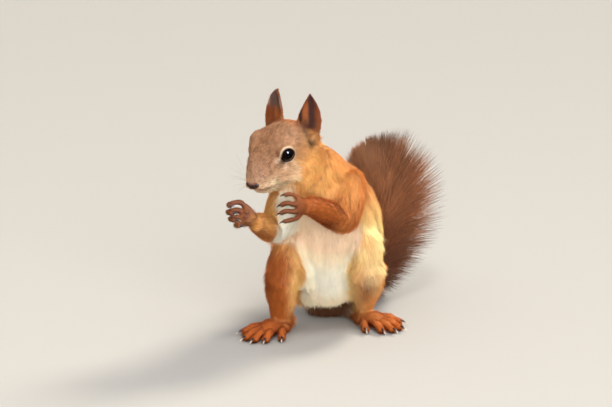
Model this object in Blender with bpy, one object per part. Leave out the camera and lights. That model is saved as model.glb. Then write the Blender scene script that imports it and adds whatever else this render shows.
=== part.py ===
"""A red squirrel sitting upright on its haunches with both hands raised to its mouth.

Life size, in metres, +Z up. The animal faces -Y with its head turned to its own right (-X), and its
tail rises behind it on its own left (+X). Each part of the body is one closed solid that reaches out
to the tips of the coat. Parts meet face to face across a thin gap.
Lengths in the tables are millimetres and are scaled by MM.
"""

import math

import bmesh
import bpy
import numpy as np
from mathutils import Matrix, Vector

MM = 0.001
GAP = 0.3 * MM  # left between parts that meet

# Driving places of the pose, in millimetres
HEAD_CENTRE = (-30.8, -4.0, 123.6)
HEAD_TURN_DEG = 35.0  # towards the animal's right
HEAD_BOW_DEG = 8.0  # nose down

EYE_RADIUS = 5.2
EYE_PLACE = (5.4, 11.8, 3.6)  # forward, out to the side, up, from the head's centre
EAR_HEIGHT = 31.6
EAR_HALF_WIDTH = 6.5
EAR_TIP_HALF_WIDTH = 0.7
EAR_TOP = {"left": (3.2, 0.62), "right": (4.4, 0.55)}  # powers that round the top over
EAR_DEPTH = 4.5  # how far the cup is dished
EAR_LEAN = (-0.19, -0.03)  # back and inwards, for each unit up
EAR_ROOT = (-17.0, 14.0, 0.5)
EAR_FACING_DEG = {"left": 50.0, "right": 16.0}  # opening, away from straight ahead

SIDES = {"left": 1, "right": -1}
SHOULDER = {"left": (14.0, 12.0, 99.0), "right": (-22.0, 8.0, 95.0)}
ELBOW = {"left": (12.0, -8.0, 81.0), "right": (-31.0, -5.0, 73.5)}
WRIST = {"left": (-10.5, -25.0, 96.0), "right": (-43.0, -24.0, 84.0)}

HIP = {"left": (19.0, 46.0, 31.0), "right": (-15.0, 40.0, 30.0)}
KNEE = {"left": (27.0, 10.0, 42.0), "right": (-26.0, 1.0, 43.0)}
ANKLE = {"left": (24.0, 38.0, 10.0), "right": (-28.5, 20.0, 10.0)}
HEEL = {"left": (16.0, 43.0), "right": (-22.5, 27.0)}
FOOT_TURN_DEG = {"left": 39.0, "right": -31.0}  # away from straight ahead
TOE_ROOTS = [(20.0, -7.0), (27.5, -3.6), (29.5, 0.0), (28.5, 3.8), (22.0, 6.2)]  # along the foot, outwards
TOE_TIPS = [(34.0, -14.5), (42.0, -7.2), (45.5, -0.6), (45.0, 6.2), (36.0, 14.0)]

COLOURS = {
    "coat_orange": ((0.60, 0.24, 0.07), 0.85),
    "coat_grey_brown": ((0.45, 0.27, 0.16), 0.85),
    "coat_rust": ((0.33, 0.11, 0.03), 0.85),
    "coat_tail": ((0.20, 0.085, 0.045), 0.9),
    "eye_dark": ((0.006, 0.004, 0.004), 0.08),
    "nose_dark": ((0.06, 0.03, 0.025), 0.5),
    "claw_horn": ((0.07, 0.055, 0.05), 0.35),
}


# ---------------------------------------------------------------- plain tools


def clear_scene():
    for old in list(bpy.data.objects):
        bpy.data.objects.remove(old)


def material(slot):
    found = bpy.data.materials.get(slot)
    if found:
        return found
    colour, roughness = COLOURS[slot]
    made = bpy.data.materials.new(slot)
    made.use_nodes = True
    shader = made.node_tree.nodes["Principled BSDF"]
    shader.inputs["Base Color"].default_value = (*colour, 1.0)
    shader.inputs["Roughness"].default_value = roughness
    shader.inputs["Metallic"].default_value = 0.0
    return made


def new_object(name, mesh, slot):
    made = bpy.data.objects.new(name, mesh)
    bpy.context.scene.collection.objects.link(made)
    made.data.materials.append(material(slot))
    return made


def finish_mesh(name, bm, slot):
    bmesh.ops.remove_doubles(bm, verts=bm.verts, dist=0.01 * MM)
    bmesh.ops.recalc_face_normals(bm, faces=bm.faces)
    bmesh.ops.triangulate(bm, faces=bm.faces)
    mesh = bpy.data.meshes.new(name)
    bm.to_mesh(mesh)
    bm.free()
    mesh.shade_smooth()
    return new_object(name, mesh, slot)


def curve_through(rows, count):
    """Rows of numbers read at count even steps of a Catmull-Rom curve through them."""
    rows = np.array(rows, float)
    ends = np.vstack([2 * rows[0] - rows[1], rows, 2 * rows[-1] - rows[-2]])
    at = np.linspace(0, len(rows) - 1, count)
    k = np.minimum(at.astype(int), len(rows) - 2)
    t = (at - k)[:, None]
    p0, p1, p2, p3 = ends[k], ends[k + 1], ends[k + 2], ends[k + 3]
    return 0.5 * (
        2 * p1 + (p2 - p0) * t + (2 * p0 - 5 * p1 + 4 * p2 - p3) * t**2 + (3 * p1 - p0 - 3 * p2 + p3) * t**3
    )


def loft(name, stations, slot, rings=12, sides=16, side=(1, 0, 0), cap=0.8, cap_rings=2):
    """A closed body carried along a path. A station is x, y, z, half width along side, half depth.
    The ends are rounded over by cap times their smaller half size."""
    rows = curve_through(stations, rings)
    places, widths, depths = rows[:, :3], rows[:, 3], rows[:, 4]
    along = np.gradient(places, axis=0)
    along /= np.linalg.norm(along, axis=1)[:, None]
    round_over = [0.5 * math.pi * (k + 1) / (cap_rings + 1) for k in range(cap_rings + 1)]
    closing = {}
    for end, sign in ((0, -1), (-1, 1)):
        reach = sign * cap * min(widths[end], depths[end])
        closing[end] = []
        for angle in round_over:
            share = math.cos(angle) if angle < round_over[-1] else 0.0
            closing[end].append((end, places[end] + along[end] * reach * math.sin(angle), share))
    order = closing[0][::-1] + [(i, places[i], 1.0) for i in range(rings)] + closing[-1]
    bm = bmesh.new()
    turns = np.linspace(0, 2 * math.pi, sides, endpoint=False)
    loops = []
    for i, centre, share in order:
        if share == 0.0:
            loops.append([bm.verts.new(Vector(centre) * MM)])
            continue
        across = np.array(side, float) - np.dot(side, along[i]) * along[i]
        across /= np.linalg.norm(across)
        over = np.cross(along[i], across)
        ring = []
        for turn in turns:
            point = centre + across * widths[i] * share * math.cos(turn)
            point += over * depths[i] * share * math.sin(turn)
            ring.append(bm.verts.new(Vector(point) * MM))
        loops.append(ring)
    for a, b in zip(loops, loops[1:], strict=False):
        for j in range(sides):
            k = (j + 1) % sides
            if len(a) == 1:
                bm.faces.new((a[0], b[j], b[k]))
            elif len(b) == 1:
                bm.faces.new((a[j], b[0], a[k]))
            else:
                bm.faces.new((a[j], b[j], b[k], a[k]))
    return finish_mesh(name, bm, slot)


def ball(name, centre, radius, slot, segments=14):
    bm = bmesh.new()
    bmesh.ops.create_uvsphere(bm, u_segments=segments, v_segments=segments // 2, radius=radius * MM)
    bmesh.ops.translate(bm, verts=bm.verts, vec=Vector(centre) * MM)
    return finish_mesh(name, bm, slot)


def bake(obj):
    """Replaces the mesh with what its modifiers make of it."""
    graph = bpy.context.evaluated_depsgraph_get()
    mesh = bpy.data.meshes.new_from_object(obj.evaluated_get(graph), depsgraph=graph)
    obj.modifiers.clear()
    obj.data = mesh


def loose_bodies(bm):
    """The sets of joined vertices, the largest first."""
    unseen = set(bm.verts)
    bodies = []
    while unseen:
        todo = [unseen.pop()]
        body = set(todo)
        while todo:
            for edge in todo.pop().link_edges:
                fresh = unseen.intersection(edge.verts)
                unseen -= fresh
                body |= fresh
                todo += fresh
        bodies.append(body)
    return sorted(bodies, key=len, reverse=True)


def settle(obj):
    """Bakes the modifiers and keeps the one large body."""
    bake(obj)
    bm = bmesh.new()
    bm.from_mesh(obj.data)
    scraps = [v for body in loose_bodies(bm)[1:] for v in body]
    bmesh.ops.delete(bm, geom=scraps, context="VERTS")
    bmesh.ops.triangulate(bm, faces=bm.faces)
    bm.to_mesh(obj.data)
    bm.free()
    obj.data.shade_smooth()
    return obj


def merge(name, pieces, slot, voxel, faces):
    """One body from pieces that overlap: remeshed on a grid, eased, then thinned to about that many faces."""
    bm = bmesh.new()
    for piece in pieces:
        bm.from_mesh(piece.data)
        bpy.data.objects.remove(piece)
    mesh = bpy.data.meshes.new(name)
    bm.to_mesh(mesh)
    bm.free()
    obj = new_object(name, mesh, slot)
    remesh = obj.modifiers.new("one_body", "REMESH")
    remesh.mode = "VOXEL"
    remesh.voxel_size = voxel * MM
    ease = obj.modifiers.new("ease", "SMOOTH")
    ease.factor = 0.5
    ease.iterations = 3
    settle(obj)
    thin = obj.modifiers.new("thin", "DECIMATE")
    thin.ratio = min(1.0, faces / len(obj.data.polygons))
    return settle(obj)


def grown(obj, by=GAP):
    """A hidden cutter: obj pushed out by the gap."""
    cutter = bpy.data.objects.new("cutter_" + obj.name, obj.data.copy())
    bpy.context.scene.collection.objects.link(cutter)
    bm = bmesh.new()
    bm.from_mesh(cutter.data)
    bm.normal_update()
    moves = [v.normal * by for v in bm.verts]
    for v, move in zip(bm.verts, moves, strict=True):
        v.co += move
    bm.to_mesh(cutter.data)
    bm.free()
    cutter.hide_render = True
    cutter.display_type = "WIRE"
    return cutter


def block(name, low, high):
    """A hidden box cutter between two corners, in millimetres."""
    bm = bmesh.new()
    bmesh.ops.create_cube(bm, size=1.0)
    size = Vector(high) - Vector(low)
    middle = (Vector(high) + Vector(low)) / 2
    bm.transform(Matrix.Translation(middle * MM) @ Matrix.Diagonal((*(size * MM), 1.0)))
    mesh = bpy.data.meshes.new(name)
    bm.to_mesh(mesh)
    bm.free()
    cutter = bpy.data.objects.new(name, mesh)
    bpy.context.scene.collection.objects.link(cutter)
    cutter.hide_render = True
    cutter.display_type = "WIRE"
    return cutter


def extent(obj):
    """The lowest and highest x, y, z of a mesh."""
    points = np.array([v.co for v in obj.data.vertices])
    return points.min(axis=0), points.max(axis=0)


def cut(obj, *cutters):
    for n, cutter in enumerate(cutters):
        trim = obj.modifiers.new(f"trim_{n}", "BOOLEAN")
        trim.operation = "DIFFERENCE"
        trim.object = cutter
    return settle(obj)


def split_bodies(obj, names, slot, key):
    """Parts obj into one object per loose body, in the order of key(centre)."""
    bm = bmesh.new()
    bm.from_mesh(obj.data)
    bpy.data.objects.remove(obj)
    bodies = loose_bodies(bm)[: len(names)]
    bodies.sort(key=lambda body: key(sum((v.co for v in body), Vector()) / len(body)))
    made = []
    for name, body in zip(names, bodies, strict=True):
        part = bmesh.new()
        copies = {v: part.verts.new(v.co) for v in body}
        for face in {face for v in body for face in v.link_faces}:
            part.faces.new([copies[v] for v in face.verts])
        made.append(finish_mesh(name, part, slot))
    bm.free()
    return made


# ---------------------------------------------------------------- head


def head_frame():
    """The head's own axes: columns forward, left, up, placed at its centre."""
    turn = math.radians(HEAD_TURN_DEG)
    bow = math.radians(HEAD_BOW_DEG)
    forward = Vector((-math.sin(turn) * math.cos(bow), -math.cos(turn) * math.cos(bow), -math.sin(bow)))
    left = Vector((math.cos(turn), -math.sin(turn), 0))
    up = forward.cross(left)
    frame = Matrix((forward, left, up)).transposed().to_4x4()
    frame.translation = Vector(HEAD_CENTRE)
    return frame


def in_head(place):
    return tuple(head_frame() @ Vector(place))


def head_axis(column):
    return tuple(head_frame().to_3x3().col[column])


def head_loft(name, stations, slot, rings, sides, cap=0.8):
    """A loft whose stations are forward, side, up in the head's axes."""
    placed = [(*in_head(row[:3]), *row[3:]) for row in stations]
    return loft(name, placed, slot, rings, sides, head_axis(1), cap)


def make_head():
    skull = head_loft(
        "skull",
        [
            (27.5, 0, -10.4, 5.0, 4.7),
            (24, 0, -9.2, 7.4, 6.9),
            (18, 0, -6.4, 10.0, 10.2),
            (11, 0, -3.2, 13.0, 13.6),
            (3, 0, -0.6, 15.8, 16.6),
            (-6, 0, 0.2, 17.2, 18.0),
            (-16, 0, -0.2, 16.4, 17.2),
            (-23, 0, -1.2, 13.5, 14.2),
        ],
        "coat_grey_brown",
        20,
        28,
        0.7,
    )
    pieces = [skull]
    for sign in (1, -1):
        cheek = [(16, 5, -11, 5.5, 5.5), (8, 8.2, -10, 8, 8), (-2, 9.6, -9, 9.5, 10), (-12, 8, -8.5, 9, 10)]
        cheek = [(f, sign * side, up, w, d) for f, side, up, w, d in cheek]
        pieces.append(head_loft("cheek", cheek, "coat_grey_brown", 10, 20))
        brow = [(13, 8.6, 3.0, 3, 3), (6, 11.0, 7.0, 4.6, 4.2), (-2, 11.2, 6.4, 5, 5)]
        brow = [(f, sign * side, up, w, d) for f, side, up, w, d in brow]
        pieces.append(head_loft("brow", brow, "coat_grey_brown", 8, 16))
        lip = [(26.5, 2.8, -12.8, 3.2, 2.7), (22, 4.4, -13.2, 4.6, 3.8), (15, 6, -13, 5.4, 4.5)]
        lip = [(f, sign * side, up, w, d) for f, side, up, w, d in lip]
        pieces.append(head_loft("lip", lip, "coat_grey_brown", 8, 16))
    chin = [(20, 0, -16.2, 3.4, 2.6), (13, 0, -16.6, 5.5, 3.6), (4, 0, -15.5, 8, 5)]
    pieces.append(head_loft("chin", chin, "coat_grey_brown", 8, 16))
    return merge("head", pieces, "coat_grey_brown", 0.9, 860)


def make_ear(side_name):
    """A dished leaf: s runs up from root to tip, t across from the front edge to the back."""
    rows, across = 8, 7
    facing = math.radians(EAR_FACING_DEG[side_name])
    sign = SIDES[side_name]
    to_world = head_frame()
    opening = Vector((math.cos(facing), sign * math.sin(facing), 0))
    along_width = Vector((-math.sin(facing), sign * math.cos(facing), 0))
    lean = Vector((EAR_LEAN[0], EAR_LEAN[1] * sign, 1.0))
    bm = bmesh.new()
    sheets = []
    for inner in (True, False):
        sheet = []
        for i in range(rows):
            s = i / (rows - 1)
            belly = 0.72 + 0.5 * math.sin(math.pi * min(1, s * 1.15))
            rise, power = EAR_TOP[side_name]
            half = max(EAR_TIP_HALF_WIDTH, EAR_HALF_WIDTH * belly * (1 - s**rise) ** power)
            thick = 2.4 * (1 - s) + 1.3 * s
            row = []
            for j in range(across):
                t = -1 + 2 * j / (across - 1)
                dish = EAR_DEPTH * (1 - 0.55 * s) * (t * t - 0.45)
                shell = 0.5 * thick * math.sqrt(max(0.0, 1 - 0.8 * t * t))
                push = dish + (shell if inner else -shell)
                point = Vector(EAR_ROOT)
                point.y *= sign
                point += lean * EAR_HEIGHT * s + along_width * half * t
                point += opening * push
                row.append(bm.verts.new((to_world @ point) * MM))
            sheet.append(row)
        sheets.append(sheet)
    front, back = sheets
    for i in range(rows - 1):
        for j in range(across - 1):
            bm.faces.new((front[i][j], front[i][j + 1], front[i + 1][j + 1], front[i + 1][j]))
            bm.faces.new((back[i][j], back[i + 1][j], back[i + 1][j + 1], back[i][j + 1]))
        for j in (0, across - 1):
            bm.faces.new((front[i][j], front[i + 1][j], back[i + 1][j], back[i][j]))
    for i in (0, rows - 1):
        for j in range(across - 1):
            bm.faces.new((front[i][j], front[i][j + 1], back[i][j + 1], back[i][j]))
    return finish_mesh(f"ear_{side_name}", bm, "coat_rust")


# ---------------------------------------------------------------- limbs


def claw(name, place, direction, bend, length=3.6, root=0.85):
    """A tapering hook that leaves place along direction and turns towards bend."""
    direction = Vector(direction).normalized()
    bend = Vector(bend).normalized()
    stations = []
    for k in range(3):
        t = k / 2
        at = Vector(place) + direction * length * t + bend * length * 0.35 * t * t
        size = root * (1 - 0.72 * t)
        stations.append((*at, size * 0.8, size))
    side = direction.cross(bend)
    return loft(name, stations, "claw_horn", 3, 4, side, 0.9, 0)


def digit(places, thick, tip):
    sizes = np.linspace(thick, tip, len(places))
    stations = [(*place, size, size) for place, size in zip(places, sizes, strict=True)]
    return loft("digit", stations, "coat_rust", 6, 10, (0.2, 0.1, 1.0))


def make_left_hand():
    x, y, z = WRIST["left"]
    palm = [
        (x + 2, y + 1, z - 0.5, 5.6, 5.0),
        (x - 3, y - 1.5, z, 6.6, 4.6),
        (x - 8, y - 3.5, z + 0.8, 8.4, 3.8),
    ]
    pieces = [loft("palm", palm, "coat_rust", 8, 16, (0, 0, 1))]
    knuckles = [(-17.5, -28.6, 102.0), (-19.0, -30.2, 97.6), (-18.8, -30.0, 93.0), (-17.0, -28.4, 88.6)]
    middles = [(-21.6, -29.6, 104.2), (-24.0, -32.0, 99.0), (-24.2, -32.0, 93.8), (-22.0, -30.0, 87.4)]
    tips = [(-25.6, -29.6, 103.4), (-28.0, -31.2, 97.2), (-28.2, -31.2, 92.0), (-26.0, -29.8, 86.2)]
    claws = []
    for k, (knuckle, middle, tip) in enumerate(zip(knuckles, middles, tips, strict=True)):
        start = tuple(0.45 * a + 0.55 * b for a, b in zip(knuckle, (x - 4, y - 1.5, z), strict=True))
        pieces.append(digit([start, knuckle, middle, tip], 2.5, 1.75))
        heading = Vector(tip) - Vector(middle)
        claws.append(claw(f"claw_hand_left_{k + 1}", Vector(tip) + heading * 0.22, heading, (0.1, 0.35, -1)))
    return merge("hand_left", pieces, "coat_rust", 0.6, 380), claws


def make_right_hand():
    x, y, z = WRIST["right"]
    palm = [
        (x + 0.5, y + 1, z - 1, 5.2, 5.4),
        (x - 2.5, y - 2, z + 4, 4.8, 6.4),
        (x - 5.5, y - 3.5, z + 7, 4.0, 7.4),
    ]
    pieces = [loft("palm", palm, "coat_rust", 8, 16, (1, -0.4, 0))]
    heights = [97.6, 93.0, 88.6, 84.2]
    knuckles = [(-52.5, -26.5), (-54.0, -27.4), (-53.4, -27.4), (-50.8, -26.4)]
    middles = [(-59.5, -30.0), (-60.2, -31.2), (-58.8, -31.2), (-55.4, -30.2)]
    tips = [(-58.8, -34.6), (-56.6, -35.6), (-55.2, -35.4), (-52.4, -34.0)]
    claws = []
    for k, height in enumerate(heights):
        knuckle = (*knuckles[k], height)
        middle = (*middles[k], height + 1.0)
        tip = (*tips[k], height + 0.4)
        start = tuple(0.5 * a + 0.5 * b for a, b in zip(knuckle, (x - 4, y - 3, z + 7), strict=True))
        pieces.append(digit([start, knuckle, middle, tip], 2.5, 1.75))
        place = Vector(tip) + Vector((0.9, -0.2, -0.2))
        claws.append(claw(f"claw_hand_right_{k + 1}", place, (1, -0.15, -0.1), (0.2, 0.3, -0.8)))
    return merge("hand_right", pieces, "coat_rust", 0.6, 380), claws


def make_foot(side_name):
    """Heel, long sole and five spread toes. Each toe arches and comes down on its tip."""
    turn = math.radians(FOOT_TURN_DEG[side_name])
    sign = SIDES[side_name]
    ahead = Vector((math.sin(turn), -math.cos(turn), 0))
    outer = Vector((math.cos(turn), math.sin(turn), 0)) * sign
    heel = Vector((*HEEL[side_name], 0))

    def at(along, across, up):
        return tuple(heel + ahead * along + outer * across + Vector((0, 0, up)))

    sole = [
        (*at(1, 0, 5.2), 4.6, 5.8),
        (*at(9, 0.2, 5.6), 5.2, 6.4),
        (*at(18, 0.2, 5.6), 6.2, 6.4),
        (*at(26, 0.3, 4.8), 7.6, 5.4),
        (*at(30, 0.3, 3.9), 7.2, 4.3),
    ]
    instep = [(*at(4, -1.5, 5.8), 5.2, 6.2), (*at(12, -4.2, 5.2), 5.4, 5.8), (*at(20, -6.8, 4.2), 4.6, 4.6)]
    pieces = [loft("sole", sole, "coat_orange", 12, 20, tuple(outer))]
    pieces.append(loft("instep", instep, "coat_orange", 8, 16, tuple(outer)))
    claws = []
    for k, (root, tip) in enumerate(zip(TOE_ROOTS, TOE_TIPS, strict=True)):
        root, tip = Vector(root), Vector(tip)
        step = (tip - root).normalized()
        start = at(*(root - 5 * step), 4.2)
        arch = at(*root.lerp(tip, 0.42), 5.0)
        down = at(*root.lerp(tip, 0.82), 3.1)
        pieces.append(digit([start, arch, down, at(*tip, 1.9)], 3.0, 2.2))
        heading = ahead * step.x + outer * step.y
        place = Vector(at(*tip, 1.9)) + heading * 1.5 + Vector((0, 0, 1.4))
        heading.z = -0.12
        claws.append(claw(f"claw_foot_{side_name}_{k + 1}", place, heading, (0, 0, -1), 3.4))
    return merge(f"foot_{side_name}", pieces, "coat_orange", 0.8, 380), claws


def limb(name, start, end, sizes, slot):
    """A loft from start to end with a station for each pair of half sizes."""
    stations = []
    for k, (wide, deep) in enumerate(sizes):
        stations.append((*Vector(start).lerp(Vector(end), k / (len(sizes) - 1)), wide, deep))
    return loft(name, stations, slot, 6, 14)


# ---------------------------------------------------------------- the whole animal


def make_trunk():
    stations = [
        (2.0, 49.0, 11.5, 18.5, 17.0),
        (2.0, 43.0, 24.0, 27.5, 25.5),
        (2.5, 38.0, 42.0, 33.5, 30.5),
        (3.4, 33.0, 60.0, 35.6, 30.5),
        (2.4, 26.5, 78.0, 33.4, 28.5),
        (-2.0, 18.0, 94.0, 27.0, 24.5),
        (-6.0, 11.0, 106.0, 21.0, 19.5),
    ]
    return loft("trunk", stations, "coat_orange", 12, 22, (1, 0.12, 0), 0.7)


def make_neck():
    stations = [
        (-3.0, 15.0, 100.0, 23.0, 22.0),
        (-11.0, 10.0, 109.0, 21.5, 20.5),
        (-19.0, 5.0, 116.0, 19.0, 18.5),
        (-26.0, 0.0, 121.0, 17.0, 17.0),
    ]
    return loft("neck", stations, "coat_orange", 7, 22, (0.85, -0.5, 0), 0.5, 1)


def make_tail():
    stations = [
        (12.0, 58.0, 18.0, 12.0, 12.0),
        (24.0, 73.0, 13.0, 17.0, 16.0),
        (37.0, 84.0, 23.5, 22.0, 22.0),
        (46.0, 91.0, 43.0, 30.0, 25.0),
        (49.0, 95.0, 64.0, 36.0, 26.0),
        (45.5, 98.0, 82.0, 37.0, 24.0),
        (40.5, 102.0, 94.5, 30.0, 16.0),
    ]
    whole = loft("tail", stations, "coat_tail", 10, 16, (1, 0.15, 0), 0.6)
    floor = block("under_tail", (-40, 30, -60), (140, 200, 0))
    path = curve_through(stations, 60)
    cutters = [floor]
    for n, at in enumerate((13, 23, 33, 43, 52)):
        along = Vector(path[at + 1, :3] - path[at - 1, :3]).normalized()
        slab = block(f"tail_cut_{n}", (-70, -60, -0.5 * GAP / MM), (70, 60, 0.5 * GAP / MM))
        turn = Vector((0, 0, 1)).rotation_difference(along).to_matrix().to_4x4()
        slab.data.transform(Matrix.Translation(Vector(path[at, :3]) * MM) @ turn)
        cutters.append(slab)
    for n, cutter in enumerate(cutters):
        trim = whole.modifiers.new(f"trim_{n}", "BOOLEAN")
        trim.operation = "DIFFERENCE"
        trim.object = cutter
    bake(whole)
    names = [f"tail_{n + 1}" for n in range(len(cutters))]
    return split_bodies(whole, names, "coat_tail", lambda c: c.z + 1.2 * c.y)


def mitre(before, after, point, normal):
    """Parts two bodies at a plane: before keeps the side the normal leaves, after the side it points to."""
    normal = Vector(normal).normalized()
    turn = Vector((0, 0, 1)).rotation_difference(normal).to_matrix().to_4x4()
    half_gap = 0.5 * GAP / MM
    for obj, low, high in ((before, -half_gap, 160), (after, -160, half_gap)):
        slab = block("mitre", (-160, -160, low), (160, 160, high))
        slab.data.transform(Matrix.Translation(Vector(point) * MM) @ turn)
        cut(obj, slab)
        bpy.data.objects.remove(slab)


def bend_normal(first, middle, last):
    """The normal of the plane that halves the bend at middle."""
    coming = (Vector(middle) - Vector(first)).normalized()
    going = (Vector(last) - Vector(middle)).normalized()
    return coming + going


def stand_on_origin():
    """Slides everything so that the middle of its footprint is over the world's origin."""
    corners = np.vstack([extent(obj) for obj in bpy.data.objects])
    middle = (corners.min(axis=0) + corners.max(axis=0)) / 2
    for obj in bpy.data.objects:
        obj.data.transform(Matrix.Translation((-middle[0], -middle[1], 0)))


def build():
    clear_scene()
    trunk = make_trunk()
    neck = make_neck()
    head = make_head()
    ears = [make_ear(name) for name in SIDES]
    eyes = []
    for name, sign in SIDES.items():
        f, side, up = EYE_PLACE
        eyes.append(ball(f"eye_{name}", in_head((f, sign * side, up)), EYE_RADIUS, "eye_dark"))
    nose = head_loft("nose", [(28.6, 0, -9.6, 3.7, 2.5), (30.6, 0, -10.4, 3.3, 2.2)], "nose_dark", 3, 10, 0.7)
    mitre(head, neck, in_head((-15, 0, -9)), head_frame().to_3x3() @ Vector((-0.62, 0, -0.78)))
    mitre(neck, trunk, (-8.5, 12.0, 106.0), (0.35, 0.25, -0.9))

    hands = {"left": make_left_hand(), "right": make_right_hand()}
    uppers, lowers, paws, claws = [], [], [], []
    for name in SIDES:
        upper_arm = limb(
            f"upper_arm_{name}", SHOULDER[name], ELBOW[name], [(13, 15), (13, 14), (10.5, 11)], "coat_orange"
        )
        forearm = limb(
            f"forearm_{name}", ELBOW[name], WRIST[name], [(10, 10), (9.2, 9.2), (6.2, 6.8)], "coat_rust"
        )
        hand, more = hands[name]
        claws += more
        mitre(upper_arm, forearm, ELBOW[name], bend_normal(SHOULDER[name], ELBOW[name], WRIST[name]))
        mitre(forearm, hand, WRIST[name], Vector(WRIST[name]) - Vector(ELBOW[name]))
        thigh = limb(f"thigh_{name}", HIP[name], KNEE[name], [(17, 24), (17, 21), (13.5, 14)], "coat_orange")
        shank = limb(
            f"shank_{name}", KNEE[name], ANKLE[name], [(13.2, 13.5), (11.8, 12), (7.2, 8)], "coat_orange"
        )
        foot, more = make_foot(name)
        claws += more
        mitre(thigh, shank, KNEE[name], bend_normal(HIP[name], KNEE[name], ANKLE[name]))
        mitre(shank, foot, ANKLE[name], (0, 0.25, -1))
        uppers += [thigh, upper_arm]
        lowers += [shank, forearm]
        paws += [foot, hand]
    tail = make_tail()

    floor = block("under_floor", (-200, -200, -80), (200, 200, 0))
    done = [*eyes, nose, *claws]
    for obj in [trunk, head, neck, *uppers, *paws, *lowers, *ears, *tail]:
        low, high = extent(obj)
        cutters = []
        for other in done:
            other_low, other_high = extent(other)
            if (other_low < high + GAP).all() and (other_high > low - GAP).all():
                cutters.append(grown(other))
        if low[2] < 0:
            cutters.append(floor)
        if cutters:
            cut(obj, *cutters)
        done.append(obj)
    for left_over in [o for o in bpy.data.objects if o.hide_render]:
        bpy.data.objects.remove(left_over)
    stand_on_origin()


build()
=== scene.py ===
import bpy
import numpy as np
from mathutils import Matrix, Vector


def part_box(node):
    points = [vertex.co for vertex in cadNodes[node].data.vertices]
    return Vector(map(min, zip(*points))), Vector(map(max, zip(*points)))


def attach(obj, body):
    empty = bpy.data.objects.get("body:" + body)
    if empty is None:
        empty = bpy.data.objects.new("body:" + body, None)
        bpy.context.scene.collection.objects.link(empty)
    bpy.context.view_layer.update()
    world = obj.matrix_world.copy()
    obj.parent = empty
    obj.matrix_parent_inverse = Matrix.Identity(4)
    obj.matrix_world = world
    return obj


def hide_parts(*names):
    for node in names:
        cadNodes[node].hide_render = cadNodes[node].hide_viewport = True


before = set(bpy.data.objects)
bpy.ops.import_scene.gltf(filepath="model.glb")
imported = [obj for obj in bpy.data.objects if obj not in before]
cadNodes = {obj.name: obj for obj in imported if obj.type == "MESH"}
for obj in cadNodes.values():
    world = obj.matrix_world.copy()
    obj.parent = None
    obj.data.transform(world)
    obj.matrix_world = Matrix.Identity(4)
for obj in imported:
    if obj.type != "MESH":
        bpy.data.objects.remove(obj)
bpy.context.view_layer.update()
print("frame loaded:", len(cadNodes), "nodes")

mm = 0.001

# Everything is worked out in the model maker's own millimetres and moved to the
# frame's place when a mesh is written. The head's axes are forward, left and up.
headPlan = {
    "centre": (-30.8, -4.0, 123.6),
    "turnDegrees": 35.0,  # towards the animal's right
    "bowDegrees": 8.0,  # nose down
    "eye": (5.4, 11.8, 3.6),  # forward, out to the side, up
    "eyeRadius": 5.2,
}
headTurn = np.radians(headPlan["turnDegrees"])
headBow = np.radians(headPlan["bowDegrees"])
headForward = np.array(
    [-np.sin(headTurn) * np.cos(headBow), -np.cos(headTurn) * np.cos(headBow), -np.sin(headBow)]
)
headLeft = np.array([np.cos(headTurn), -np.sin(headTurn), 0.0])
headUp = np.cross(headForward, headLeft)
headAxes = np.array([headForward, headLeft, headUp])
headCentre = np.array(headPlan["centre"])


def fromHead(places):
    return headCentre + np.asarray(places, float) @ headAxes


def toHead(points):
    return (points - headCentre) @ headAxes.T


def boxMiddle(node):
    low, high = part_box(node)
    return (np.array(low) + np.array(high)) / 2 / mm


makerShift = boxMiddle("eye_left") - fromHead(headPlan["eye"])


def toRow(points):
    return (np.asarray(points) + makerShift) * mm


def ease(start, stop, value):
    # 0 before start, 1 after stop, and a smooth step between; start may be the larger
    t = np.clip((value - start) / (stop - start), 0, 1)
    return t * t * (3 - 2 * t)


def unit(vectors):
    return vectors / np.maximum(np.linalg.norm(vectors, axis=-1, keepdims=True), 1e-9)


def laidOn(vectors, normals):
    # what is left of each vector when its share along the normal is taken away
    return vectors - (vectors * normals).sum(1, keepdims=True) * normals


def turned(angle, first, second):
    # the way at an angle from first towards second: cosine of one plus sine of the other
    return np.cos(angle)[:, None] * first + np.sin(angle)[:, None] * second


def lump(place, width):
    # 1 at the place and falling to nothing a couple of widths away
    return np.exp(-((place / width) ** 2))


def linearColour(*levels):
    # levels of 0 to 255 as a paint chart gives them, turned into linear light
    v = np.array(levels) / 255
    return np.where(v <= 0.04045, v / 12.92, ((v + 0.055) / 1.055) ** 2.4)


# ---- meshes


def makeMesh(name, points, faces, smooth=True):
    # points in the maker's millimetres; faces all have the same number of corners
    mesh = bpy.data.meshes.new(name)
    corners = faces.shape[1]
    mesh.vertices.add(len(points))
    mesh.vertices.foreach_set("co", toRow(points).astype(np.float32).ravel())
    mesh.loops.add(faces.size)
    mesh.loops.foreach_set("vertex_index", faces.astype(np.int32).ravel())
    mesh.polygons.add(len(faces))
    mesh.polygons.foreach_set("loop_start", np.arange(0, faces.size, corners, dtype=np.int32))
    mesh.update(calc_edges=True)
    mesh.shade_smooth() if smooth else mesh.shade_flat()
    return mesh


def placed(name, data):
    # puts a mesh, lamp or camera into the scene
    holder = bpy.data.objects.new(name, data)
    bpy.context.scene.collection.objects.link(holder)
    return holder


def addPiece(name, mesh, material, slotName, replaced=()):
    piece = placed(name, mesh)
    mesh.materials.append(material)
    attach(piece, "root")
    if replaced:
        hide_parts(*replaced)


def setPointColour(mesh, colours):
    layer = mesh.attributes.new("coatColour", "FLOAT_COLOR", "POINT")
    full = np.ones((len(mesh.vertices), 4), np.float32)
    full[:, :3] = colours
    layer.data.foreach_set("color", full.ravel())


def addForm(name, form, colours, material, slotName, replaced=()):
    # a piece made of points and faces, with a colour at each point or one for them all
    mesh = makeMesh(name, *form)
    setPointColour(mesh, colours)
    addPiece(name, mesh, material, slotName, replaced)


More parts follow.
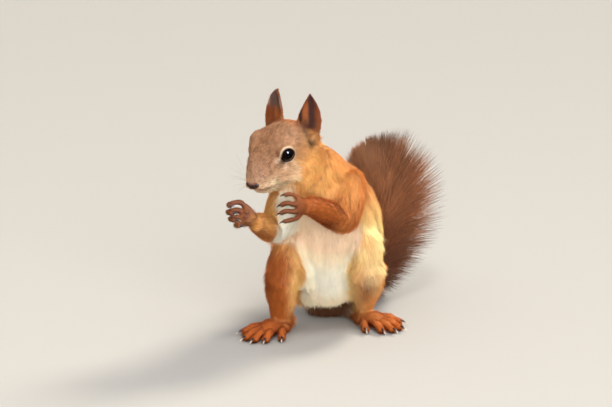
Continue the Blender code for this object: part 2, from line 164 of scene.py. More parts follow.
def meshArrays(mesh):
    points = np.empty(len(mesh.vertices) * 3, np.float32)
    mesh.vertices.foreach_get("co", points)
    mesh.calc_loop_triangles()
    tris = np.empty(len(mesh.loop_triangles) * 3, np.int32)
    mesh.loop_triangles.foreach_get("vertices", tris)
    return points.reshape(-1, 3).astype(float) / mm - makerShift, tris.reshape(-1, 3)


def mergeDoubles(points, tris):
    keys, back = np.unique(np.round(points * 1000).astype(np.int64), axis=0, return_inverse=True)
    tris = back.reshape(-1)[tris]
    flat = (tris[:, 0] == tris[:, 1]) | (tris[:, 1] == tris[:, 2]) | (tris[:, 0] == tris[:, 2])
    return keys / 1000, tris[~flat]


def triCross(points, tris):
    return np.cross(points[tris[:, 1]] - points[tris[:, 0]], points[tris[:, 2]] - points[tris[:, 0]])


def pointNormals(points, tris):
    cross = triCross(points, tris)
    total = np.zeros_like(points)
    for axis in range(3):
        for corner in range(3):
            total[:, axis] += np.bincount(tris[:, corner], cross[:, axis], len(points))
    return unit(total)


def edgesOf(tris):
    pairs = np.sort(np.concatenate([tris[:, [0, 1]], tris[:, [1, 2]], tris[:, [2, 0]]]), axis=1)
    return np.unique(pairs[:, 0].astype(np.int64) * (1 << 32) + pairs[:, 1])


class Web:
    # the edges of a mesh, for averaging a value over each point's neighbours
    def __init__(self, tris, count):
        codes = edgesOf(tris)
        self.a, self.b, self.count = codes >> 32, codes & 0xFFFFFFFF, count
        self.degree = np.bincount(self.a, minlength=count) + np.bincount(self.b, minlength=count)
        self.degree = np.maximum(self.degree, 1)

    def spread(self, onA, onB):
        return np.bincount(self.a, onA, self.count) + np.bincount(self.b, onB, self.count)

    def mean(self, values):
        if values.ndim == 1:
            return self.spread(values[self.b], values[self.a]) / self.degree
        return np.stack([self.mean(column) for column in values.T], 1)

    def soften(self, values, share, times):
        # share is how far each point moves to its neighbours' mean, each time
        for _ in range(times):
            step = self.mean(values) - values
            values = values + step * (share[:, None] if np.ndim(share) and values.ndim > 1 else share)
        return values


def gridFaces(rows, columns, closed=True):
    # quads of a grid whose columns run round; each faces outwards if rows run
    # along the piece and columns turn anticlockwise as seen from its far end
    i, j = np.meshgrid(np.arange(rows - 1), np.arange(columns if closed else columns - 1), indexing="ij")
    i, j = i.ravel(), j.ravel()
    k = (j + 1) % columns
    return np.stack([i * columns + j, i * columns + k, (i + 1) * columns + k, (i + 1) * columns + j], 1)


def quadsToTris(quads):
    return np.concatenate([quads[:, [0, 1, 2]], quads[:, [0, 2, 3]]])


def closedGrid(grid):
    # rows of rings made into a skin, with a pole at the middle of the first and the last ring
    rows, columns = grid.shape[:2]
    points = np.concatenate([grid.reshape(-1, 3), grid[:1].mean(1), grid[-1:].mean(1)])
    first, last = rows * columns, rows * columns + 1
    turn = np.arange(columns)
    after = (turn + 1) % columns
    end = (rows - 1) * columns
    caps = [
        np.stack([np.full(columns, first), after, turn], 1),
        np.stack([np.full(columns, last), end + turn, end + after], 1),
    ]
    return points, np.concatenate([quadsToTris(gridFaces(rows, columns)), *caps])


def tubeForm(path, radii, sides, flatten=1.0, upward=(0, 0, 1)):
    # a circle of the given radius, made taller by flatten, carried along the path
    path, radii = np.asarray(path, float), np.asarray(radii, float)
    along = unit(np.gradient(path, axis=0))
    across = unit(np.cross(np.asarray(upward, float), along))
    over = np.cross(along, across)
    angle = np.linspace(0, 2 * np.pi, sides, endpoint=False)
    tall = np.broadcast_to(np.asarray(flatten, float), radii.shape)[:, None, None]
    ring = np.cos(angle)[None, :, None] * across[:, None] + tall * np.sin(angle)[None, :, None] * over[:, None]
    return closedGrid(path[:, None] + radii[:, None, None] * ring)


def outwards(points, tris):
    # turns a closed form's faces round if they look inwards
    volume = (triCross(points, tris) * (points[tris[:, 0]] - points.mean(0))).sum()
    return points, tris if volume > 0 else tris[:, ::-1]


def joinForms(forms):
    points, tris, start = [], [], 0
    for p, t in forms:
        points.append(p)
        tris.append(t + start)
        start += len(p)
    return np.concatenate(points), np.concatenate(tris)


def smoothPath(stations, count):
    # a Catmull-Rom curve through the stations, sampled evenly in its parameter
    s = np.asarray(stations, float)
    s = np.concatenate([2 * s[:1] - s[1:2], s, 2 * s[-1:] - s[-2:-1]])
    t = np.linspace(0, len(s) - 3 - 1e-9, count)
    k = t.astype(int)
    t = (t - k)[:, None]
    a, b, c, d = s[k], s[k + 1], s[k + 2], s[k + 3]
    return 0.5 * (2 * b + (c - a) * t + (2 * a - 5 * b + 4 * c - d) * t**2 + (3 * b - a - 3 * c + d) * t**3)


# ---- shader maths


class Value:
    # a shader socket that takes part in Python sums; each sum adds its Math node
    def __init__(self, tree, socket):
        self.tree, self.socket = tree, socket

    def sum(self, operation, first, second):
        node = self.tree.nodes.new("ShaderNodeMath")
        node.operation = operation
        for slot, item in zip(node.inputs, (first, second)):
            if isinstance(item, Value):
                self.tree.links.new(item.socket, slot)
            else:
                slot.default_value = item
        return Value(self.tree, node.outputs[0])

    def __add__(self, other):
        return self.sum("ADD", self, other)

    def __sub__(self, other):
        return self.sum("SUBTRACT", self, other)

    def __rsub__(self, other):
        return self.sum("SUBTRACT", other, self)

    def __mul__(self, other):
        return self.sum("MULTIPLY", self, other)

    __radd__ = __add__
    __rmul__ = __mul__


class Finish:
    # a material with a Principled shader, built up node by node
    def __init__(self, name, **fixed):
        self.material = bpy.data.materials.new(name)
        self.material.use_nodes = True
        self.tree = self.material.node_tree
        self.shader = self.tree.nodes["Principled BSDF"]
        for socket, value in fixed.items():
            self.shader.inputs[socket.replace("_", " ")].default_value = value

    def node(self, kind, settings=None, output=0, **inputs):
        node = self.tree.nodes.new("ShaderNode" + kind)
        for key, value in (settings or {}).items():
            setattr(node, key, value)
        for key, value in inputs.items():
            # i0, i6 and so on are sockets by number, where names repeat
            slot = node.inputs[int(key[1:])] if key[0] == "i" and key[1:].isdigit() else node.inputs[key]
            if isinstance(value, Value):
                self.tree.links.new(value.socket, slot)
            else:
                slot.default_value = value
        return Value(self.tree, node.outputs[output])

    def place(self):
        return self.node("TexCoord", output="Object")

    def noise(self, scale, detail=2.0, place=None):
        return self.node("TexNoise", output="Fac", Vector=place or self.place(), Scale=scale, Detail=detail)

    def mix(self, factor, first, second, blend="MIX"):
        settings = {"data_type": "RGBA", "blend_type": blend}
        return self.node("Mix", settings, output=2, i0=factor, i6=first, i7=second)

    def varied(self, pattern, vary, least):
        # the piece's own colours, varied by a pattern; least is the darkest share of them
        shade = pattern * vary + least
        grey = self.node("CombineColor", Red=shade, Green=shade, Blue=shade)
        own = self.node("Attribute", {"attribute_name": "coatColour"}, output="Color")
        return self.mix(1.0, own, grey, "MULTIPLY")

    def feed(self, **values):
        for key, value in values.items():
            self.tree.links.new(value.socket, self.shader.inputs[key.replace("_", " ")])
        return self.material

    def letThrough(self, paint, share):
        # mixes in a shader that shows the light behind
        through = self.node("BsdfTranslucent", Color=paint)
        mixed = self.node("MixShader", i0=share, i1=Value(self.tree, self.shader.outputs[0]), i2=through)
        self.tree.links.new(mixed.socket, self.tree.nodes["Material Output"].inputs["Surface"])
        return self.material

    def bump(self, height, strength, distance):
        return self.node("Bump", Height=height, Strength=strength, Distance=distance)


# a noise's scale is its number of patches in a metre


def coatFinish(name, roughness, sheen, shineThrough=0.22):
    # the hairs' own colour, with a slight cloudiness over the body
    finish = Finish(name, Roughness=roughness, Specular_IOR_Level=0.2, Sheen_Weight=sheen, Sheen_Roughness=0.4)
    paint = finish.varied(finish.noise(scale=140.0, detail=3.0), vary=0.24, least=0.88)
    finish.feed(Base_Color=paint)
    return finish.letThrough(paint, shineThrough)


def hideFinish(name):
    # the skin wears the coat's markings, and a fine hair-like grain
    finish = Finish(name, Roughness=0.7, Specular_IOR_Level=0.25)
    grain = finish.noise(scale=2600.0, detail=3.0)
    paint = finish.varied(grain, vary=0.5, least=0.72)
    return finish.feed(Base_Color=paint, Normal=finish.bump(grain, strength=0.5, distance=0.0004))


def eyeFinish():
    # nearly black, with a brown iris that shows only in strong light
    finish = Finish("eyeDark", Roughness=0.04, IOR=1.4)
    return finish.feed(Base_Color=finish.varied(finish.noise(scale=2200.0, detail=2.0), vary=0.6, least=0.7))


def leatherFinish(name, roughness):
    # bare skin: fine pebbles, a little moist
    finish = Finish(name, Specular_IOR_Level=0.45)
    pebbles = finish.node("TexVoronoi", output="Distance", Vector=finish.place(), Scale=3200.0)
    rough = finish.noise(scale=900.0) * 0.25 + (roughness - 0.12)
    relief = finish.bump(pebbles, strength=0.45, distance=0.00018)
    return finish.feed(Base_Color=finish.varied(pebbles, vary=0.5, least=0.78), Roughness=rough, Normal=relief)


def hornFinish():
    # claws: dark at the root and pale towards the point, with faint lengthwise grain
    finish = Finish("clawHorn", IOR=1.45, Coat_Weight=0.05, Coat_Roughness=0.3)
    grain = finish.noise(scale=1800.0, detail=2.0)
    return finish.feed(Base_Color=finish.varied(grain, vary=0.3, least=0.85), Roughness=grain * 0.2 + 0.36)


# ---- the body's plan: an axis for each part, as x, y, z and radius

# the tail's outline: x, y, z, half its width and half its depth
tailStations = np.array(
    [
        (8.0, 50.0, 22.0, 12, 12),
        (12.0, 58.0, 18.0, 12, 12),
        (24.0, 73.0, 13.0, 17, 16),
        (37.0, 84.0, 23.5, 22, 22),
        (46.0, 91.0, 43.0, 30, 25),
        (49.0, 95.0, 64.0, 36, 26),
        (45.5, 98.0, 82.0, 37, 24),
        (40.5, 102.0, 94.5, 30, 16),
    ]
)
# the tail's bone runs along its front left, and its hair fans out to the right and up
tailBone = np.array(
    [
        (8.0, 50.0, 22.0),
        (12.0, 58.0, 18.0),
        (22.0, 72.0, 15.5),
        (32.0, 83.0, 27.0),
        (37.0, 90.0, 43.0),
        (38.0, 94.0, 59.0),
        (35.5, 97.0, 73.0),
        (32.0, 99.0, 84.0),
    ]
)
tailSide = (1, 0.15, 0)  # roughly across the tail
earPlan = {
    "root": (-17.0, 14.0, 0.5),
    "height": 31.6,
    "halfWidth": 6.5,
    "dish": 4.5,
    "thick": {"root": 2.5, "tip": 1.65},
    "lean": (-0.19, -0.03),  # back and inwards, for each unit up
    "facingDegrees": {"left": 50.0, "right": 16.0},
    "top": {"left": (4.0, 0.52), "right": (6.0, 0.45)},  # powers that round the top over
    "wide": {"left": 1.10, "right": 1.12},
    "shift": {"left": -1.5, "right": -1.3},
}
sides = {"left": 1, "right": -1}


def earAxes(side):
    # in the head's own directions: root, lean for each unit up, way it opens, way across it
    facing, sign = np.radians(earPlan["facingDegrees"][side]), sides[side]
    return (
        np.array(earPlan["root"]) * (1, sign, 1),
        np.array([earPlan["lean"][0], earPlan["lean"][1] * sign, 1.0]),
        np.array([np.cos(facing), sign * np.sin(facing), 0]),
        np.array([-np.sin(facing), sign * np.cos(facing), 0]),
    )


def earBone(side):
    root, lean, _, _ = earAxes(side)
    rows = ((0.42, 6.0), (0.75, 5.4), (1.0, 1.5))  # share of the height, and radius
    return [(*fromHead(root + lean * earPlan["height"] * share), radius) for share, radius in rows]


def headBone(rows):
    # from the head's own directions to the maker's
    rows = np.array(rows, float)
    return np.column_stack([fromHead(rows[:, :3]), rows[:, 3]])


footPlan = {
    "left": {"heel": (16.0, 43.0), "turnDegrees": 39.0},
    "right": {"heel": (-22.5, 27.0), "turnDegrees": -31.0},
    "bone": [(1, 0, 5.2, 5.2), (18, 0.2, 5.4, 6.0), (30, 0.5, 4.0, 5.8), (44, 1.0, 2.4, 4.5)],
    # along from the heel, outwards, up, half width and half height
    "sole": [
        (0, 0, 5.4, 3.9, 5.2), (9, 0.2, 5.6, 4.7, 5.8), (18, 0.2, 5.4, 5.5, 5.6),
        (26, 0.3, 4.6, 6.6, 4.7), (30, 0.3, 3.8, 6.0, 3.6),
    ],
    "instep": [(4, -1.5, 5.6, 4.7, 5.6), (12, -4.2, 5.0, 4.9, 5.2), (20, -6.8, 4.0, 4.0, 3.9)],
}


def footPlace(side):
    # gives a function from along, outwards and up to the foot's own place
    turn = np.radians(footPlan[side]["turnDegrees"])
    ahead = np.array([np.sin(turn), -np.cos(turn), 0.0])
    outer = np.array([np.cos(turn), np.sin(turn), 0.0]) * sides[side]
    heel = np.array([*footPlan[side]["heel"], 0.0])
    return lambda along, across, up: heel + ahead * along + outer * across + np.array([0, 0, up])


def footBone(side):
    at = footPlace(side)
    return [(*at(a, b, c), radius) for a, b, c, radius in footPlan["bone"]]


handPlan = {
    "left": {
        "wrist": (-10.5, -25.0, 96.0),
        "knuckles": [(-17.5, -28.6, 102), (-19, -30.2, 97.6), (-18.8, -30, 93), (-17, -28.4, 88.6)],
        "middles": [(-21.6, -29.6, 104.2), (-24, -32, 99), (-24.2, -32, 93.8), (-22, -30, 87.4)],
        "tips": [(-25.6, -29.6, 103.4), (-28, -31.2, 97.2), (-28.2, -31.2, 92), (-26, -29.8, 86.2)],
        "palmWay": (-0.1, 1.0, 0.0),
    },
    "right": {
        "wrist": (-43.0, -24.0, 84.0),
        "knuckles": [(-52.5, -26.5, 97.6), (-54, -27.4, 93), (-53.4, -27.4, 88.6), (-50.8, -26.4, 84.2)],
        "middles": [(-59.5, -30, 97.6), (-60.2, -31.2, 93), (-58.8, -31.2, 88.6), (-55.4, -30.2, 84.2)],
        "tips": [(-58.8, -34.6, 97.6), (-56.6, -35.6, 93), (-55.2, -35.4, 88.6), (-52.4, -34, 84.2)],
        "palmWay": (0.6, -0.8, 0.0),
    },
    "girth": 1.62,
    "palm": {"at": [0, 0.33, 0.66, 1], "thin": [4.8, 4.2, 3.3, 2.1], "tall": [4.9, 4.9, 6.4, 7.4]},
    "fingerPad": {"lift": 2.3, "radius": 1.7},
    "thumbPad": {"lift": 3.2, "up": 2.4, "radius": 2.1},
}
toePlan = {
    "roots": [(20.0, -7.0), (27.5, -3.6), (29.5, 0.0), (28.5, 3.8), (22.0, 6.2)],  # along, outwards
    "tips": [(34.0, -14.5), (42.0, -7.2), (45.5, -0.6), (45.0, 6.2), (36.0, 14.0)],
    "girth": 2.35,
    "tipHeight": 1.9,
}
digitPlan = {
    "taper": (1.06, 0.26),  # thickness at the root, and how much of it is lost to the tip
    "joint": (0.13, 0.07),  # how much a joint thickens it, and over which share of its length
    "pad": (0.9, 0.16, 0.07),  # where the pad is, how thick and how long
    "roundFrom": 0.93,
}


def digitForm(stations, girth, joints):
    # a tube with a rounded end, a little thicker at its joints and its pad
    path = smoothPath(stations, 34)
    t = np.linspace(0, 1, len(path))
    padAt, padThick, padLong = digitPlan["pad"]
    jointThick, jointLong = digitPlan["joint"]
    size = digitPlan["taper"][0] - digitPlan["taper"][1] * t + padThick * lump(t - padAt, padLong)
    for joint in joints:
        size = size + jointThick * lump(t - joint, jointLong)
    end = digitPlan["roundFrom"]
    size = size * np.sqrt(np.clip(1 - ((t - end) / 0.072) ** 2 * (t > end), 0.03, 1))
    return tubeForm(path, girth * size, 14)


def handForms(side):
    # four fingers, a palm that flattens from the wrist to the knuckles, and its pads
    plan = handPlan[side]
    wrist, knuckles = np.array(plan["wrist"]), np.array(plan["knuckles"])
    middle = knuckles.mean(0)
    palmWay = unit(np.array(plan["palmWay"]))
    made = []
    for rows in zip(plan["knuckles"], plan["middles"], plan["tips"]):
        start = wrist * 0.62 + np.array(rows[0]) * 0.38
        made.append(digitForm([start, *rows], handPlan["girth"], joints=(0.36, 0.7)))
    path = smoothPath([wrist * 1.5 - middle * 0.5, wrist, (wrist + middle) / 2, middle], 16)
    t, palm = np.linspace(0, 1, 16), handPlan["palm"]
    thin, tall = (np.interp(t, palm["at"], palm[key]) for key in ("thin", "tall"))
    made.append(tubeForm(path, thin, 20, tall / thin))
    pad, thumb = handPlan["fingerPad"], handPlan["thumbPad"]
    for a, b in zip(knuckles[:-1], knuckles[1:]):
        centre = (a + b) / 2 * 0.72 + wrist * 0.28 + palmWay * pad["lift"]
        made.append(sphereForm(centre, pad["radius"], 12, 16))
    centre = wrist * 0.75 + middle * 0.25 + palmWay * thumb["lift"] + np.array([0, 0, thumb["up"]])
    return [*made, sphereForm(centre, thumb["radius"], 12, 16)]


def footForms(side):
    # the sole and the instep, each a tube of changing width and height, and five toes
    at = footPlace(side)
    made = []
    for key, count, columns in (("sole", 24, 22), ("instep", 16, 18)):
        rows = smoothPath([(*at(a, b, c), wide, tall) for a, b, c, wide, tall in footPlan[key]], count)
        made.append(tubeForm(rows[:, :3], rows[:, 3], columns, rows[:, 4] / rows[:, 3]))
    for root, tip in zip(np.array(toePlan["roots"]), np.array(toePlan["tips"])):
        step = unit(tip - root)
        stations = [at(*(root - 5 * step), 4.0), at(*(root * 0.58 + tip * 0.42), 4.7)]
        stations += [at(*(root * 0.18 + tip * 0.82), 3.0), at(*tip, toePlan["tipHeight"])]
        made.append(digitForm(stations, toePlan["girth"], joints=(0.4, 0.72)))
    return made


def earForm(side):
    # a dished leaf: rows run up from root to tip, and each ring goes out across the inner
    # face and back across the outer; the dish is a square law and the outline a rounded point
    root, lean, opening, across = earAxes(side)
    rows, columns = 30, 36
    s = np.linspace(0, 1, rows)[:, None]
    turn = np.linspace(0, 2 * np.pi, columns, endpoint=False)[None]
    belly = 0.72 + 0.5 * np.sin(np.pi * np.minimum(1, s * 1.05))
    rise, power = earPlan["top"][side]
    half = np.maximum(0.9, earPlan["halfWidth"] * belly * (1 - s**rise) ** power)
    t = np.cos(turn)
    dish = earPlan["dish"] * (1 - 0.55 * s) * (t * t - 0.45)
    thick = earPlan["thick"]["root"] * (1 - s) + earPlan["thick"]["tip"] * s
    push = dish + 0.5 * thick * np.sin(turn)
    grid = root + lean * earPlan["height"] * s[..., None]
    spread = half * earPlan["wide"][side] * t + earPlan["shift"][side] * (1 - s * s)
    grid = grid + across * spread[..., None] + opening * push[..., None]
    return outwards(*closedGrid(fromHead(grid.reshape(-1, 3)).reshape(rows, columns, 3)))


bones = {
    "head": headBone([(-17, 0, -0.5, 16), (-5, 0, 0, 17), (8, 0, -2, 14.5), (18, 0, -6.4, 10), (27, 0, -10.4, 5)]),
    "ear.left": earBone("left"),
    "ear.right": earBone("right"),
    "neck": [(-5, 14, 102, 21.5), (-12, 9, 110, 20), (-19, 5, 116, 18)],
    "trunk": [
        (2, 49, 11.5, 18), (2, 43, 24, 26.5), (2.5, 38, 42, 32),
        (3.4, 33, 60, 33), (2, 26.5, 78, 30.5), (-2, 18, 94, 26),
    ],
    "upperArm.left": [(14, 12, 99, 14), (12, -8, 81, 10.8)],
    "upperArm.right": [(-22, 8, 95, 14), (-31, -5, 73.5, 10.8)],
    "forearm.left": [(12, -8, 81, 10), (-10.5, -25, 96, 6.5)],
    "forearm.right": [(-31, -5, 73.5, 10), (-43, -24, 84, 6.5)],
    "hand.left": [(-12.5, -26, 96, 5.5), (-18, -29.3, 95, 5.5), (-27, -30.5, 95.5, 4.5)],
    "hand.right": [(-44, -24.5, 85, 5.5), (-52.7, -27, 91, 5.5), (-58, -31, 92, 4.5)],
    "thigh.left": [(19, 46, 31, 20), (26, 14, 41, 14.5)],
    "thigh.right": [(-15, 40, 30, 20), (-25.5, 5, 42.5, 14.5)],
    "shank.left": [(27, 10, 42, 13), (24, 37, 11, 8)],
    "shank.right": [(-26, 1, 43, 13), (-28.5, 19, 11, 8)],
    "foot.left": footBone("left"),
    "foot.right": footBone("right"),
    "tail": np.column_stack([tailBone, np.full(len(tailBone), 6.0)]),
}
bones = {part: np.array(rows, float) for part, rows in bones.items()}
partNames = list(bones)


def boneGap(points, bone):
    # distance from the surface of a chain of cones, the least over its links
    best = np.full(len(points), 1e9)
    for a, b in zip(bone[:-1], bone[1:]):
        along = b[:3] - a[:3]
        t = np.clip((points - a[:3]) @ along / (along @ along), 0, 1)
        gap = np.linalg.norm(points - a[:3] - t[:, None] * along, axis=1) - (a[3] + t * (b[3] - a[3]))
        best = np.minimum(best, gap)
    return best


def partShares(points, softness=2.2):
    # how much of each part a point belongs to: falls off with distance, and adds up to 1
    gaps = np.stack([boneGap(points, bones[part]) for part in partNames], 1)
    share = np.exp(-(gaps - gaps.min(1, keepdims=True)) / softness)
    return share / share.sum(1, keepdims=True)


def shareOf(shares, *stems):
    wanted = [k for k, part in enumerate(partNames) if part.split(".")[0] in stems or part in stems]
    return shares[:, wanted].sum(1)


partColumns = ("soft", "depth", "length", "rise", "thick", "grizzle")
partPlan = {
    # how much the skin is smoothed and drawn in; the hair's length, rise from the skin,
    # thickness, and how much darker and paler than its mark single hairs are
    "head": (0.14, 1.5, 3.4, 1.4, 0.125, 0.52),
    "ear": (0.03, 0.05, 2.3, 0.55, 0.10, 0.3),
    "neck": (1.0, 3.8, 8.0, 3.6, 0.165, 0.2),
    "trunk": (1.0, 4.8, 9.5, 4.6, 0.18, 0.16),
    "upperArm": (0.9, 3.2, 7.0, 3.0, 0.165, 0.22),
    "forearm": (0.5, 1.9, 4.8, 1.7, 0.14, 0.3),
    "hand": (0.03, 0.0, 1.9, 0.45, 0.09, 0.2),
    "thigh": (1.0, 4.4, 9.0, 4.2, 0.175, 0.16),
    "shank": (0.6, 2.6, 6.0, 2.3, 0.155, 0.2),
    "foot": (0.05, 0.05, 3.2, 0.8, 0.125, 0.15),
    "tail": (0.6, 0.0, 9.0, 4.0, 0.18, 0.3),
}


def planned(shares, name):
    # a column of the plan, blended by share
    column = partColumns.index(name)
    return sum(shares[:, k] * partPlan[part.split(".")[0]][column] for k, part in enumerate(partNames))


# ---- the skin: all flesh joined, smoothed, drawn in by the coat's depth, then modelled

skinPlan = {
    "voxel": 0.48,
    "swell": 0.5,  # closes the gaps between the parts
    "softTimes": 40,
    "blunt": {"from": 27.4, "share": 0.62},  # the muzzle's tip, forward in the head
    "faces": 186000,
    "shade": 0.7,  # the skin is darker than the hair over it
    # extra flesh, as x, y, z and radius; the jaw is in the head's own directions
    "jaw": [(23, 0, -13.8, 4.4), (16, 0, -15.6, 6.2), (7, 0, -16.4, 8.4), (-3, 0, -14.5, 11)],
    "chest": [(-10, 9, 90, 11), (-18, 6, 78, 9.8), (-23, 4, 69.5, 7.6)],
    "flanks": [
        [(24, 18, 68, 11), (25, 14, 58, 13), (26, 13, 48, 13)],
        [(-24, 12, 66, 10), (-25, 8, 56, 12), (-26, 6, 47, 13)],
    ],
    "tailCore": {"at": [0, 0.15, 0.9, 1], "radius": [9.0, 7.5, 5.0, 3.0]},
}

fleshNodes = ["head", "neck", "trunk"]
for side in sides:
    fleshNodes += [f"{part}_{side}" for part in ("ear", "upper_arm", "forearm", "hand", "thigh", "shank", "foot")]
tailNodes = [f"tail_{k}" for k in range(1, 7)]


def swollenNode(name):
    points, tris = mergeDoubles(*meshArrays(cadNodes[name].data))
    return points + pointNormals(points, tris) * skinPlan["swell"], tris


def sphereForm(centre, radius, rows=24, columns=36):
    # latitude and longitude, with the poles closed
    lat = np.linspace(-np.pi / 2, np.pi / 2, rows)
    path = np.asarray(centre, float) + np.outer(np.sin(lat) * radius, (0, 0, 1))
    return tubeForm(path, np.cos(lat) * radius + 1e-4, columns, upward=(0, 1, 0))


shaped = ("ear_", "hand_", "foot_")  # these parts are modelled here, finer than their nodes
forms = [swollenNode(name) for name in fleshNodes if not name.startswith(shaped)]
for side in sides:
    forms += [earForm(side), *handForms(side), *footForms(side)]
forms += [sphereForm(boxMiddle(f"eye_{side}") - makerShift, headPlan["eyeRadius"] - 0.4) for side in sides]
forms.append(swollenNode("nose"))
for rows in skinPlan["flanks"]:  # they run down into the thighs
    rows = smoothPath(rows, 14)
    forms.append(tubeForm(rows[:, :3], rows[:, 3], 20))
core = skinPlan["tailCore"]
coreSize = np.interp(np.linspace(0, 1, 60), core["at"], core["radius"])
forms.append(tubeForm(smoothPath(tailBone, 60), coreSize, 20, upward=tailSide))
jaw, chest = smoothPath(skinPlan["jaw"], 14), smoothPath(skinPlan["chest"], 12)
forms.append(tubeForm(fromHead(jaw[:, :3]), jaw[:, 3], 28))
forms.append(tubeForm(chest[:, :3], chest[:, 3], 28))


def modified(points, tris, kind, **settings):
    # the mesh that one modifier makes of a form
    mesh = makeMesh("flesh", points, tris)
    holder = placed("flesh", mesh)
    modifier = holder.modifiers.new(kind, kind)
    for key, value in settings.items():
        setattr(modifier, key, value)
    done = holder.evaluated_get(bpy.context.evaluated_depsgraph_get())
    result = meshArrays(done.to_mesh())
    done.to_mesh_clear()
    bpy.data.objects.remove(holder)
    bpy.data.meshes.remove(mesh)
    return result


points, tris = modified(*joinForms(forms), "REMESH", mode="VOXEL", voxel_size=skinPlan["voxel"] * mm)
print("flesh joined:", len(points), "points")
web = Web(tris, len(points))
shares = partShares(points)
softness = web.soften(planned(shares, "soft"), 0.5, 8)
points = web.soften(points, softness * 0.5, skinPlan["softTimes"])

# The coat's depth: thin on the muzzle, deeper on the cheeks, deepest on the body. Here and
# below, ease limits a change to a part of the body, and its numbers are places on the axes.
forward, aside, upward = toHead(points).T
x, y, z = points.T
headShare, trunkShare = shareOf(shares, "head"), shareOf(shares, "trunk")
depth = planned(shares, "depth")
cheek = 1.0 * ease(-2, -9, upward) * ease(16, 6, forward)
depth += headShare * (cheek - 0.8 * ease(12, 20, forward))
farBrow = ease(-4, -9, aside) * ease(0, 5, forward) * ease(21, 15, forward) * ease(15, 10, upward)
depth -= headShare * farBrow * (3.6 * ease(-8, -3, upward) + 2.8 * ease(1, 5, upward))
farCrown = ease(-2, -8, aside) * ease(-6, 2, forward) * ease(18, 10, forward)
depth -= headShare * farCrown * 1.9 * ease(7, 12, upward) * ease(22, 16, upward)
# under the belly's lower edge the skin draws well back, so that the hair there hangs free
depth += trunkShare * 4.0 * ease(14, 6, z) * ease(38, 30, y)
# the chest hangs a little forward over the belly
below = ease(64, 58, z) * ease(34, 52, z) * ease(26, 18, np.abs(x + 4))
below *= ease(-14, -20, x) + ease(12, 17, x)
depth += trunkShare * 1.6 * below * ease(30, 20, y)
farSnout = ease(0, -5, aside) * ease(14, 18, forward) * ease(27, 23, forward) * ease(-1, 2.5, upward)
depth -= headShare * farSnout * 1.2
depth = web.soften(depth, 0.6, 12)
swell = np.where(shareOf(shares, "hand", "foot", "ear") > 0.5, 0, skinPlan["swell"])
points = points - pointNormals(points, tris) * (depth + web.soften(swell, 0.6, 6))[:, None]
points = web.soften(points, softness * 0.4, 6)
# the muzzle's tip is blunted behind the nose
ahead = toHead(points)[:, 0] - skinPlan["blunt"]["from"]
blunt = np.where((ahead > 0) & (headShare > 0.3), ahead * skinPlan["blunt"]["share"], 0)
points = points - blunt[:, None] * headForward
print("skin drawn in")


# The lids. About each eye, a point's direction is measured from the way the eye looks.
eyePlan = {
    "looks": {"left": (0.62, 1.0, -0.02), "right": (0.34, 1.0, -0.02)},  # forward, out, up
    "openDegrees": {"left": 53.0, "right": 48.0},
    "cornerDegrees": 27.0,  # how much further the front corner reaches
    "cornerDown": 0.78,  # the front corner lies this much below straight ahead
    "lid": 0.35,
    "sunk": 1.0,
    "reach": 16,
    "setBack": {"left": 0.2, "right": 1.2},  # the ball's middle, back along its own way
    "ringDegrees": 17.0,
    "fadeDegrees": 46.0,
}


def eyeFrame(side):
    out = unit(np.array(eyePlan["looks"][side]) * (1, sides[side], 1) @ headAxes)
    ahead = unit(headForward - (headForward @ out) * out)
    over = unit(headUp - (headUp @ out) * out - (headUp @ ahead) * ahead)
    centre = boxMiddle(f"eye_{side}") - makerShift - out * eyePlan["setBack"][side]
    return centre, out, ahead, over


def lidAngle(turn, side):
    # the opening's half angle, round the eye from straight ahead; a cosine lobe makes the corner
    lobe = np.maximum(np.cos(turn + eyePlan["cornerDown"]), 0) ** 9
    back = np.maximum(np.cos(turn - np.pi - 0.2), 0) ** 4
    return np.radians(eyePlan["openDegrees"][side] + eyePlan["cornerDegrees"] * lobe + 3.0 * back)


def lidWay(side, angle, turn):
    # a direction from the eye's middle: angle away from its look, turn round it from straight ahead
    _, out, ahead, over = eyeFrame(side)
    return (
        np.cos(angle)[:, None] * out
        + (np.sin(angle) * np.cos(turn))[:, None] * ahead
        + (np.sin(angle) * np.sin(turn))[:, None] * over
    )


def aboutEye(points, side):
    # the ray from the eye's middle, its angle and turn, and its degrees past the lids' opening
    centre, out, ahead, over = eyeFrame(side)
    ray = points - centre
    way = unit(ray)
    angle = np.arccos(np.clip(way @ out, -1, 1))
    turn = np.arctan2(way @ over, way @ ahead)
    return ray, angle, turn, np.degrees(angle - lidAngle(turn, side))


def modelLids(points, side):
    centre = eyeFrame(side)[0]
    reach = np.linalg.norm(points - centre, axis=1)
    near = reach < eyePlan["reach"]
    _, angle, turn, past = aboutEye(points[near], side)
    radius = headPlan["eyeRadius"]
    lid = radius + eyePlan["lid"] + 0.25 * lump(past - 9, 6)
    raised = ease(eyePlan["fadeDegrees"], eyePlan["ringDegrees"], past)
    target = reach[near] + (np.maximum(lid, 0) - reach[near]) * raised
    target = target + (radius - eyePlan["sunk"] - target) * ease(1.5, -2.5, past)
    # points beside the rim gather on it, which keeps its edge clean
    angle = angle + (lidAngle(turn, side) - angle) * lump(past, 3.2) * 0.8
    points = points.copy()
    points[near] = centre + lidWay(side, angle, turn) * target[:, None]
    return points


for side in sides:
    points = modelLids(points, side)


